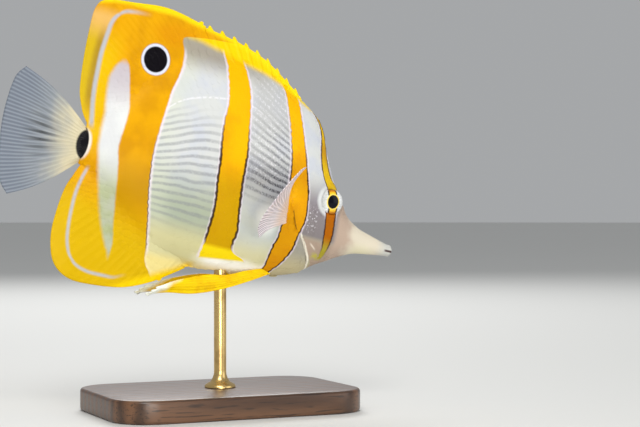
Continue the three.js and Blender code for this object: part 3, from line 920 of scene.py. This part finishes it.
class Margin:
    """A fin's free edge, walked at even steps of its length."""

    def __init__(self, rows, steps=160):
        self.points = [spline(rows, i / steps) for i in range(steps + 1)]
        self.walked = [0]
        for a, b in zip(self.points, self.points[1:]):
            self.walked.append(self.walked[-1] + math.dist(a, b))

    def at(self, share):
        wanted = share * self.walked[-1]
        i = 1
        while i < len(self.walked) - 1 and self.walked[i] < wanted:
            i += 1
        f = (wanted - self.walked[i - 1]) / (self.walked[i] - self.walked[i - 1])
        return [mix(a, b, f) for a, b in zip(self.points[i - 1], self.points[i])]


def make_fin(name, across, along, spot, half):
    """A fin as two faces on either side of a middle sheet, joined round the rim. spot gives the
    sheet's place in millimetres and half its half thickness, both for shares across and along."""
    bm = bmesh.new()
    layer = bm.loops.layers.uv.new("FinUV")
    step = 2e-3
    for side in (1, -1):
        bmesh.ops.create_grid(bm, x_segments=across, y_segments=along, size=0.5)
        for v in bm.verts[-(across + 1) * (along + 1):]:
            u, w = v.co.x + 0.5, v.co.y + 0.5
            over = Vector(spot(min(1, u + step), w)) - Vector(spot(max(0, u - step), w))
            out = Vector(spot(u, min(1, w + step))) - Vector(spot(u, max(0, w - step)))
            v.co = Vector(spot(u, w)) + over.cross(out).normalized() * half(u, w) * side
        bm.verts.ensure_lookup_table()
    count = (across + 1) * (along + 1)
    share = {}
    for side in (0, 1):
        for k in range(count):
            share[bm.verts[side * count + k]] = ((k % (across + 1)) / across, (k // (across + 1)) / along)
    rim = [e for e in bm.edges if e.is_boundary]
    bmesh.ops.bridge_loops(bm, edges=rim)
    for face in bm.faces:
        for loop in face.loops:
            loop[layer].uv = share[loop.vert]
    for v in bm.verts:
        v.co = in_frame(*swung(*v.co))
    bmesh.ops.recalc_face_normals(bm, faces=bm.faces)
    return link_piece(name, bm)


def rays_at(u, count, sharp=1.0):
    return (0.5 - 0.5 * math.cos(math.tau * u * count)) ** sharp


def upright_fin(name, plan, column, along, crest, across, root_thick):
    """A fin that stands on the back (column 1) or hangs from the belly (column 2)."""
    margin = Margin(plan["edge"])
    first, last = plan["root"]
    sink = SINK if column == 1 else -SINK
    rays = plan["rays"]

    @functools.lru_cache(maxsize=None)
    def ends(u):
        x = mix(first, last, u)
        return (x, outline_at(x, column) - sink), margin.at(u)

    def spot(u, w):
        (rx, rz), (ex, ez) = ends(u)
        bow = 1.4 * w * (1 - w)
        wave = 0.35 * w * w * math.sin(5 * u + 1.3) + 0.12 * w ** 3 * math.sin(31 * u)
        return mix(rx, ex, w) - bow, wave, mix(rz, ez, w)

    def half(u, w):
        (rx, rz), (ex, ez) = ends(u)
        out = w * math.hypot(ex - rx, ez - rz) - abs(sink)
        fillet = root_thick * math.exp(-max(0, out + 1.5) / 2.6) * ease((out + 2.6) / 1.1)
        web = mix(0.42, 0.13, ease(w * 1.1))
        ray = crest * rays_at(u, rays, 1.6) * ease(out / 3) * (1 - 0.6 * w)
        return web + fillet * ease(8 * u) * ease(8 * (1 - u)) + ray

    return make_fin(name, rays * across, along, spot, half)


soft_fin = upright_fin("soft_dorsal_fin", SOFT_FIN, 1, 60, 0.13, 8, 0.75)
anal_fin = upright_fin("anal_fin_hide", ANAL_FIN, 2, 54, 0.13, 9, 1.4)


def make_spiny_fin():
    """Nine stout spines with the web cut in behind each tip."""
    rays = SPINY_FIN["rays"]
    margin = Margin(SPINY_FIN["edge"])
    first, last = SPINY_FIN["root"]

    def spot(u, w):
        x = mix(first, last, u)
        z = outline_at(x, 1) - SINK
        ex, ez = margin.at(u)
        tip = max(0, math.cos(math.tau * (u * rays - 0.5))) ** 1.5
        lift = mix(-0.7, 0.7, tip)
        return mix(x, ex - lift * 0.5, w), 0.3 * w * math.sin(4 * u), mix(z, ez + lift, w)

    def half(u, w):
        spine = rays_at(u, rays, 3.5)
        return mix(0.3, 0.11, w) + mix(0.55, 0.13, w) * spine + 0.9 * math.exp(-((w * 6.5) ** 2))

    return make_fin("spiny_fin", rays * 16, 26, spot, half)


spiny_fin = make_spiny_fin()
for piece, node in ((soft_fin, "dorsal_fin_soft"), (anal_fin, "anal_fin"), (spiny_fin, "dorsal_fin_spiny")):
    piece.data.materials.append(hide_paint)
    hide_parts(node)
    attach(piece, "root")

# The tail fin: a clear fan on seventeen branched rays, creamy at its root, and swung aside with
# the stalk. The web is thin enough for light to come through between the rays.

TAIL_RAYS = 17
TAIL_ROOT_HALF = 5.4
TAIL_CREAM = (0.62, 0.55, 0.37)
TAIL_SMOKE = (0.15, 0.18, 0.24)
TAIL_RAY = (0.36, 0.38, 0.385)
TAIL_STREAK = (0.045, 0.05, 0.055)
TAIL_EDGE = [(-23.5, 22.2), (-26.3, 18), (-27.4, 9), (-27.2, 0), (-25.8, -9), (-23.8, -17.5), (-20.3, -22)]


def tail_spot(margin, u, w):
    ex, ez = margin.at(u)
    flare = w + 0.12 * math.sin(math.pi * w)
    wave = 0.7 * w * w * math.sin(4.2 * u + 0.6)
    return mix(1.6, ex, w), wave, mix(mix(TAIL_ROOT_HALF, -TAIL_ROOT_HALF, u), ez, flare)


def tail_half(u, w):
    trunk = rays_at(u, TAIL_RAYS, 2)
    twig = rays_at(u, TAIL_RAYS * 2, 2)
    ray = mix(trunk, twig, ease((w - 0.4) / 0.25))
    blend = 1.9 * math.exp(-max(0, w * 25 - 2.2) / 3) * ease(7 * u) * ease(7 * (1 - u))
    return mix(0.5, 0.1, ease(w * 1.3)) + mix(0.12, 0.07, w) * ray + blend


def fin_place(material, scale):
    """Shares across and along a fin, and soft blotches over it."""
    uv = add_node(material.node_tree, "ShaderNodeUVMap", {}, uv_map="FinUV")
    u, w, _ = parts_of(Pattern(uv.outputs[0]))
    return u, w, mottle(object_place(material), scale)


def make_clear_web(name, rays, root, web, ray_tone, clearness, ray_share, tail=False):
    """Clear membrane between paler rays that fork on the way out. The tail has dark streaks and a
    black root."""
    material = new_material(name)
    u, w, cloud = fin_place(material, 150)

    def comb(count, level):
        return below(ripple(u * count), level, 0.7)

    ray = lay(comb(rays, -0.2), comb(rays * 2, -0.1), above(w, 0.55, 0.12), "FLOAT")
    outer = above(w, 0.45 + cloud * 0.3, 0.25)
    colour = lay(ray_tone, web, 0.4 + outer * 0.5)
    colour = lay(colour, ray_tone, ray * ray_share)
    colour = lay(root, colour, above(w, 0.15 + cloud * 0.35, 0.2))
    if tail:
        middle = near(u, 0.48, 0.18, 0.14) * near(w, 0.52, 0.14, 0.16)
        colour = lay(colour, TAIL_STREAK, middle * above(ripple(u * 13), 0.35, 0.4) * 0.9)
        off_middle = u - 0.5
        reach = 0.105 - off_middle * off_middle * 0.45
        colour = lay(colour, BLACK, below(w, reach, 0.012))
    return dress(material, {
        "Base Color": colour,
        "Alpha": clearness + most(below(w, 0.35, 0.3), ray) * (1 - clearness),
        "Roughness": 0.4,
        "Specular IOR Level": 0.16,
        "Coat Weight": 0.05,
        "Coat Roughness": 0.25,
    })


tail_margin = Margin(TAIL_EDGE)
tail_fin = make_fin("tail_fin_web", TAIL_RAYS * 14, 44, functools.partial(tail_spot, tail_margin), tail_half)
tail_web = make_clear_web("tail web", TAIL_RAYS, TAIL_CREAM, TAIL_SMOKE, TAIL_RAY, 0.76, 0.24, True)
tail_fin.data.materials.append(tail_web)
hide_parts("tail_fin")
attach(tail_fin, "root")

# The breast fins: clear pinkish fans on fourteen fine rays, one on each side, held out from the
# body as brakes so that the near one is seen almost edge on.

BREAST = {
    "rays": 14,
    "root_top": (77.2, -2.2),
    "root_low": (78.6, -10.2),
    "out": (80, 34),
    "rise": (34, -28),
    "lengths": [(20,), (25,), (27.5,), (28.5,), (27.5,), (25,), (21,), (17,)],
}
BREAST_PEACH = (0.84, 0.66, 0.56)
BREAST_LILAC = (0.86, 0.78, 0.86)
BREAST_RAY = (0.94, 0.88, 0.90)


def flank_at(x, z):
    back, belly = outline_at(x, 1), outline_at(x, 2)
    middle = mix(belly, back, WIDEST)
    share = (z - middle) / (back - middle) if z > middle else (middle - z) / (middle - belly)
    edge = BACK_EDGE if z > middle else BELLY_EDGE
    return outline_at(x, 3) * max(0, 1 - share * share) ** (edge / 2)


def breast_spot(side, u, w):
    x = mix(BREAST["root_top"][0], BREAST["root_low"][0], u)
    z = mix(BREAST["root_top"][1], BREAST["root_low"][1], u)
    out = math.radians(mix(*BREAST["out"], u))
    rise = math.radians(mix(*BREAST["rise"], u))
    reach = -1.5 + w * (spline(BREAST["lengths"], u)[0] + 1.5)
    cup = 1.6 * math.sin(math.pi * w) + 0.25 * w * math.sin(9 * u)
    away = flank_at(round(x, 3), z) + reach * math.cos(rise) * math.sin(out)
    return x - 1.2 - reach * math.cos(rise) * math.cos(out) - cup, side * away, z + reach * math.sin(rise)


def breast_half(u, w):
    return mix(0.32, 0.07, ease(w * 1.5)) + mix(0.2, 0.07, w) * rays_at(u, BREAST["rays"], 2)


breast_web = make_clear_web(
    "breast web", BREAST["rays"], BREAST_PEACH, BREAST_LILAC, BREAST_RAY, 0.45, 0.35
)
for side, word in ((-1, "right"), (1, "left")):
    spot = functools.partial(breast_spot, side)
    fin = make_fin("breast_fin_" + word, BREAST["rays"] * 10, 28, spot, breast_half)
    fin.data.materials.append(breast_web)
    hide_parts("pectoral_fin_" + word)
    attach(fin, "root")

# The belly fins: yellow blades with a stout spine along the lower edge and five rays that run
# out into white tips. They trail back under the body, a little apart.

PELVIC_LOW = [(77.4, -28.6), (70, -32.8), (60, -37.8), (49.5, -41.6), (39.5, -43.2), (31.6, -45.8)]
PELVIC_HIGH = [(73.8, -27.6), (68, -29.6), (61, -32.6), (54, -34), (46, -37), (36.4, -41.6)]
PELVIC_RAYS = 6
PELVIC_ORANGE = (0.78, 0.45, 0.0)
PELVIC_FURROW = (0.66, 0.36, 0.0)
PELVIC_TIP = (0.86, 0.88, 0.78)


def pelvic_spot(side, u, w):
    (lx, lz), (hx, hz) = spline(PELVIC_LOW, w), spline(PELVIC_HIGH, w)
    y = mix(3.4, 5.6, w) + 1.2 * math.sin(math.pi * u) * w
    notch = 1.8 * max(0, (w - 0.9) / 0.1) * (1 - rays_at(u, 3, 0.7))
    return mix(lx, hx, u) + notch, side * y, mix(lz, hz, u)


def pelvic_half(u, w):
    spine = math.exp(-((u / 0.09) ** 2))
    ray = rays_at(u, PELVIC_RAYS, 1.0)
    return mix(0.32, 0.12, w) + mix(0.45, 0.12, w) * spine + mix(0.08, 0.05, w) * ray


def make_pelvic_paint():
    material = new_material("belly fin yellow")
    u, w, cloud = fin_place(material, 240)
    colour = lay(FIN_YELLOW, PELVIC_ORANGE, above(cloud, 0.55, 0.15))
    furrow = calc("COSINE", u * (math.tau * PELVIC_RAYS))
    colour = lay(colour, PELVIC_FURROW, above(furrow, 0.6, 0.4) * 0.25)
    colour = lay(colour, PELVIC_TIP, above(w, 0.8 + cloud * 0.12, 0.06))
    return dress(material, {
        "Base Color": colour,
        "Roughness": 0.38,
        "Specular IOR Level": 0.12,
        "Coat Weight": 0.05,
    })


pelvic_paint = make_pelvic_paint()
for side, word in ((-1, "right"), (1, "left")):
    fin = make_fin("belly_fin_" + word, 60, 40, functools.partial(pelvic_spot, side), pelvic_half)
    fin.data.materials.append(pelvic_paint)
    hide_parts("pelvic_fin_" + word)
    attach(fin, "root")

# The scales: thin round plates set in rows that arch over the flank, each tucked under the one
# before it. They cover the body and run up onto the soft fins, and are smallest on the head.

SCALE_SIDES = 10
SCALE_THICK = 0.08
SCALE_DOME = 0.09
SCALE_LIFT = 0.05
SCALE_PATCH = 0.003
SCALE_FREE_OF_EYE = 5.9
SCALES_HINDMOST = 0.8
HEAD_SCALE = 1.3
scale_paint = make_hide_paint("banded scales", 0.35)


def pitch_at(x):
    return ROW_LEAST + ROW_MORE / (1 + ((x - ROW_WIDEST_AT) / ROW_SPREAD) ** 2)


def cover_edge(z):
    """Where the flank's scales end towards the head: at the gill slit, and in line with it above."""
    return stepped(GILL_EDGE, z) - 0.6 if z < 9 else 84.5 - max(0, z - 20) * 0.35


def body_scales():
    """Each scale of the flank as its place, half length, half width and the slope of its row."""
    x, column = 92.0, 0
    while x > SCALES_HINDMOST:
        pitch = pitch_at(x)
        x -= pitch * 0.42
        column += 1
        for row in range(-18, 42):
            if (row + column) % 2:
                continue
            z = ROW_MEETING + (row + 0.5) * pitch
            back, belly = outline_at(round(x, 2), 1), outline_at(round(x, 2), 2)
            reach = 0.3 if x > 46 else 14
            if x > cover_edge(z) or not belly - (0 if x > 40 else 9) < z < back + reach:
                continue
            past = max(0, z - back, belly - z)
            slope = (row + 0.5) * (pitch_at(x + 0.5) - pitch_at(x - 0.5))
            shrink = 1 - 0.04 * past
            yield x, z, pitch * 0.74 * shrink, pitch * 0.62 * shrink, slope


def head_scales():
    for row in range(-24, 44):
        for column in range(0, 32):
            x = 75 + (column + 0.5 * (row % 2)) * HEAD_SCALE
            z = row * HEAD_SCALE * 0.88
            if x < cover_edge(z) + 0.9 or x > 102 or math.hypot(x - EYE_X, z - EYE_Z) < SCALE_FREE_OF_EYE:
                continue
            if outline_at(round(x, 2), 2) + 0.6 < z < outline_at(round(x, 2), 1) - 0.5:
                yield x, z, HEAD_SCALE * 0.7, HEAD_SCALE * 0.62, -0.3 if z > 0 else 0.3


def scale_plate():
    """One scale: a thin round plate, a little domed."""
    bm = bmesh.new()
    bmesh.ops.create_circle(bm, cap_ends=True, segments=SCALE_SIDES, radius=1)
    bmesh.ops.poke(bm, faces=bm.faces[:])
    for v in bm.verts:
        v.co.z = 0 if v.is_boundary else SCALE_DOME
    shell = bmesh.ops.extrude_face_region(bm, geom=bm.faces[:])
    lower = [part for part in shell["geom"] if isinstance(part, bmesh.types.BMVert)]
    bmesh.ops.translate(bm, verts=lower, vec=(0, 0, -SCALE_THICK))
    bmesh.ops.recalc_face_normals(bm, faces=bm.faces)
    return link_piece("scale", bm)


def surface_tree(*objects):
    bm = bmesh.new()
    for piece in objects:
        bm.from_mesh(piece.data)
    tree = BVHTree.FromBMesh(bm)
    bm.free()
    return tree


def flattened(x, z, side):
    """A place on the hide laid flat: along the fish, and round it from the belly to the back."""
    along = 0.02 + 0.96 * (x - HINDMOST) / LENGTH
    back, belly = outline_at(round(x, 2), 1), outline_at(round(x, 2), 2)
    share = (2 * z - back - belly) / (back - belly)
    if abs(share) <= 1:
        round_share = math.asin(share) * 0.6 / math.pi
    else:
        round_share = math.copysign(0.3 + (abs(share) - 1) * (back - belly) * 0.005, share)
    return along, 0.5 + round_share * 0.78


def set_scale(tree, side, draw, x, z, length, width, slope):
    """Finds the hide at a place, and stands a scale there with its free edge raised to the rear."""
    inward = Vector((0, -side, 0))
    hit, normal, _, _ = tree.ray_cast(in_frame(x, 30 * side, z), inward)
    if hit is None or abs(normal.y) < 0.1:
        return None
    for dx, dz in ((1.2, 0), (-1.2, 0), (0, 1.6), (0, -1.6)):
        _, facing, _, _ = tree.ray_cast(in_frame(x + dx, 30 * side, z + dz), inward)
        if facing is not None:
            normal = normal + facing * math.copysign(0.5, facing.dot(normal))
    normal = normal.normalized() * math.copysign(1, normal.y * side)
    along = in_frame(1, 0, slope) - in_frame(0, 0, 0)
    along = (along - normal * along.dot(normal)).normalized()
    turn = Matrix((along, normal.cross(along), normal)).transposed().to_4x4()
    size = draw.uniform(0.95, 1.06)
    lean = Matrix.Rotation(math.radians(draw.uniform(1.6, 3.0)), 4, "Y")
    stretch = Matrix.Diagonal((length * size * MM, width * size * MM, MM, 1))
    return Matrix.Translation(hit + normal * SCALE_LIFT * MM) @ turn @ lean @ stretch


def lay_scales(name, tree, side, scales):
    """A coat of scales on one side of the fish, as copies of one plate set down one by one."""
    draw = random.Random(name)
    set_down = [(set_scale(tree, side, draw, *scale), scale) for scale in scales]
    set_down = [(matrix, scale) for matrix, scale in set_down if matrix]
    plate = scale_plate()
    corners = [v.co.copy() for v in plate.data.vertices]
    copies = plate.modifiers.new("coat", "ARRAY")
    copies.count = len(set_down)
    seen = plate.evaluated_get(bpy.context.evaluated_depsgraph_get())
    mesh = bpy.data.meshes.new_from_object(seen)
    bpy.data.objects.remove(plate)
    patches = mesh.uv_layers.new(name="OFBake")
    for v in mesh.vertices:
        which, corner = divmod(v.index, len(corners))
        v.co = set_down[which][0] @ corners[corner]
    for loop in mesh.loops:
        which, corner = divmod(loop.vertex_index, len(corners))
        u, v = flattened(*set_down[which][1][:2], side)
        across = corners[corner] * SCALE_PATCH / 2
        patches.data[loop.index].uv = (u + across.x, v + across.y)
    mesh.set_sharp_from_angle(angle=math.radians(40))
    mesh.name = name
    piece = bpy.data.objects.new(name, mesh)
    bpy.context.scene.collection.objects.link(piece)
    piece.data.materials.append(scale_paint)
    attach(piece, "root")


body_tree = surface_tree(skin, soft_fin, anal_fin)
for side, word in ((-1, "right"), (1, "left")):
    lay_scales("scales_" + word, body_tree, side, body_scales())
    lay_scales("head_scales_" + word, body_tree, side, head_scales())

# The eyes: round, wet and fixed in their sockets. A black upright pupil stands in a thin gold
# ring and a silver iris, which the orange band of the head crosses above and below.

EYE_PROFILE = [
    (0, 7.65), (1.2, 7.58), (2.4, 7.33), (3.5, 6.9), (4.25, 6.4), (4.62, 5.85), (4.6, 5.2), (3.6, 4.4),
    (0, 4.2),
]
IRIS_SILVER = (0.76, 0.77, 0.76)
IRIS_GREY = (0.52, 0.53, 0.54)
IRIS_SHADE = (0.24, 0.24, 0.23)
IRIS_ORANGE = (0.90, 0.52, 0.02)
IRIS_AMBER = (0.55, 0.20, 0.01)
BAND_DARK = (0.02, 0.012, 0.006)
RIM_SILVER = (0.66, 0.64, 0.61)
RIM_BROWN = (0.20, 0.06, 0.008)
GOLD_RING = (0.90, 0.66, 0.12)
PUPIL = (0.002, 0.002, 0.006)
EYE_BAND_HALF = 1.55


def turned(profile, unit=1, merge=1e-4):
    """A profile of (radius, height) turned round the upright axis."""
    bm = bmesh.new()
    verts = [bm.verts.new((r * unit, 0, height * unit)) for r, height in profile]
    edges = [bm.edges.new(pair) for pair in zip(verts, verts[1:])]
    bmesh.ops.spin(
        bm, geom=verts + edges, cent=(0, 0, 0), axis=(0, 0, 1), angle=math.tau, steps=48, use_merge=True
    )
    bmesh.ops.remove_doubles(bm, verts=bm.verts, dist=merge)
    return bm


def make_eye(side, word):
    bm = turned(EYE_PROFILE)
    for v in bm.verts:
        v.co = in_frame(EYE_X + v.co.x, side * v.co.z, EYE_Z + v.co.y)
    bmesh.ops.recalc_face_normals(bm, faces=bm.faces)
    eye = link_piece("eyeball_" + word, bm)
    smooth = eye.modifiers.new("round", "SUBSURF")
    smooth.levels = smooth.render_levels = 1
    return eye


def make_eye_paint():
    material = new_material("eye")
    x, z, place = fish_place(material)
    across = x - EYE_X
    up = z - EYE_Z
    slanted = across + up * 0.22

    def ring(wide, tall):
        a, b = across / wide, up / tall
        return calc("SQRT", a * a + b * b)

    silver = lay(IRIS_SILVER, IRIS_GREY, above(mottle(place, 1.8, 3), 0.58, 0.15))
    colour = lay(silver, IRIS_SHADE, below(across, -2.6, 0.7) * 0.4)
    in_band = near(slanted, 0, EYE_BAND_HALF, 0.25)
    colour = lay(colour, lay(IRIS_ORANGE, IRIS_AMBER, above(ring(3.6, 3.6), 1, 0.1)), in_band)
    dark = near(calc("ABSOLUTE", slanted), EYE_BAND_HALF, 0.28, 0.2)
    colour = lay(colour, BAND_DARK, dark * above(ring(2.7, 2.9), 1, 0.06))
    colour = lay(colour, lay(RIM_SILVER, RIM_BROWN, in_band), above(ring(4.3, 4.3), 1, 0.05))
    colour = lay(colour, GOLD_RING, below(ring(2.5, 2.95), 1, 0.05))
    colour = lay(colour, PUPIL, below(ring(2.1, 2.5), 1, 0.05))
    return dress(material, {
        "Base Color": colour,
        "Roughness": 0.18,
        "Specular IOR Level": 0.08,
        "Coat Weight": 0.22,
        "Coat Roughness": 0.03,
    })


eye_paint = make_eye_paint()
for side, word in ((-1, "right"), (1, "left")):
    eye = make_eye(side, word)
    eye.data.materials.append(eye_paint)
    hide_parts("eye_" + word)
    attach(eye, "root")

# The stand: a base of dark oiled walnut with softened edges, and a slim brass rod on a turned
# foot that is let into the belly between the belly fins.

BASE_CORNER = 14
BASE_SOFT = 1.2
ROD_PROFILE = [
    (0, 8.2), (5.5, 8.2), (5.5, 8.8), (5.1, 9.3), (3.6, 10.1), (2.7, 11.4), (2.25, 12.8), (2.2, 14),
]
ROD_RADIUS = 2.2
ROD_SHORT = 0.4
WALNUT_DARK = (0.055, 0.024, 0.011)
WALNUT_LIGHT = (0.15, 0.068, 0.030)
WALNUT_PORE = (0.02, 0.010, 0.006)
BRASS = (0.72, 0.50, 0.20)
BRASS_STAIN = (0.46, 0.29, 0.11)


def make_base():
    low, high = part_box("stand_base")
    bm = bmesh.new()
    bmesh.ops.create_cube(bm, size=1)
    size = high - low
    bmesh.ops.scale(bm, vec=size, verts=bm.verts)
    bmesh.ops.translate(bm, vec=(low + high) / 2, verts=bm.verts)
    upright = [e for e in bm.edges if abs(e.verts[0].co.z - e.verts[1].co.z) > size.z / 2]
    bmesh.ops.bevel(
        bm, geom=upright, offset=BASE_CORNER * MM, affect="EDGES", segments=14, profile=0.5, material=-1
    )
    rims = [e for e in bm.edges if all(len(f.verts) > 4 for f in e.link_faces) or
            (abs(e.verts[0].co.z - e.verts[1].co.z) < 1e-6 and any(len(f.verts) > 4 for f in e.link_faces))]
    bmesh.ops.bevel(
        bm, geom=rims, offset=BASE_SOFT * MM, affect="EDGES", segments=4, profile=0.5, material=-1
    )
    return link_piece("walnut_base", bm)


def make_walnut():
    material = new_material("oiled walnut")
    place = object_place(material)
    inputs = {"Scale": 1.1, "Distortion": 5.5, "Detail": 4, "Detail Scale": 1.2}
    inputs["Vector"] = mapped(place, Scale=(8, 60, 60))
    grain = beside(place, "ShaderNodeTexWave", inputs, "Fac", wave_type="BANDS", bands_direction="Y")
    pore = mottle(mapped(place, Scale=(90, 1500, 1500)), 1, 2)
    colour = lay(WALNUT_DARK, WALNUT_LIGHT, grain)
    return dress(material, {
        "Base Color": lay(colour, WALNUT_PORE, above(pore, 0.6, 0.05) * 0.7),
        "Roughness": 0.3 + grain * 0.14,
        "Normal": bump(pore, 0.00008, 0.4),
        "Coat Weight": 0.25,
        "Coat Roughness": 0.25,
    })


def make_rod():
    low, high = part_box("stand_rod")
    top = high.z / MM - ROD_SHORT
    bm = turned(ROD_PROFILE + [(ROD_RADIUS, top), (0, top)], MM, 1e-6)
    bmesh.ops.translate(bm, vec=((low.x + high.x) / 2, 0, 0), verts=bm.verts)
    bmesh.ops.recalc_face_normals(bm, faces=bm.faces)
    rod = link_piece("brass_rod", bm)
    rod.data.set_sharp_from_angle(angle=math.radians(40))
    return rod


def make_brass():
    material = new_material("turned brass")
    place = object_place(material)
    rings = mottle(mapped(place, Scale=(300, 300, 4000)), 1, 2)
    stain = mottle(place, 140, 4)
    return dress(material, {
        "Base Color": lay(BRASS, BRASS_STAIN, above(stain, 0.58, 0.12)),
        "Roughness": 0.16 + stain * 0.25,
        "Normal": bump(rings, 0.00003, 0.5),
        "Metallic": 1,
    })


base = make_base()
base.data.materials.append(make_walnut())
base.data.set_sharp_from_angle(angle=math.radians(50))
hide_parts("stand_base")
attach(base, "root")
rod = make_rod()
rod.data.materials.append(make_brass())
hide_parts("stand_rod")
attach(rod, "root")

boxes = {"cad": cad_box, "visual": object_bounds()}
{name: [list(corner) for corner in box] for name, box in boxes.items()}
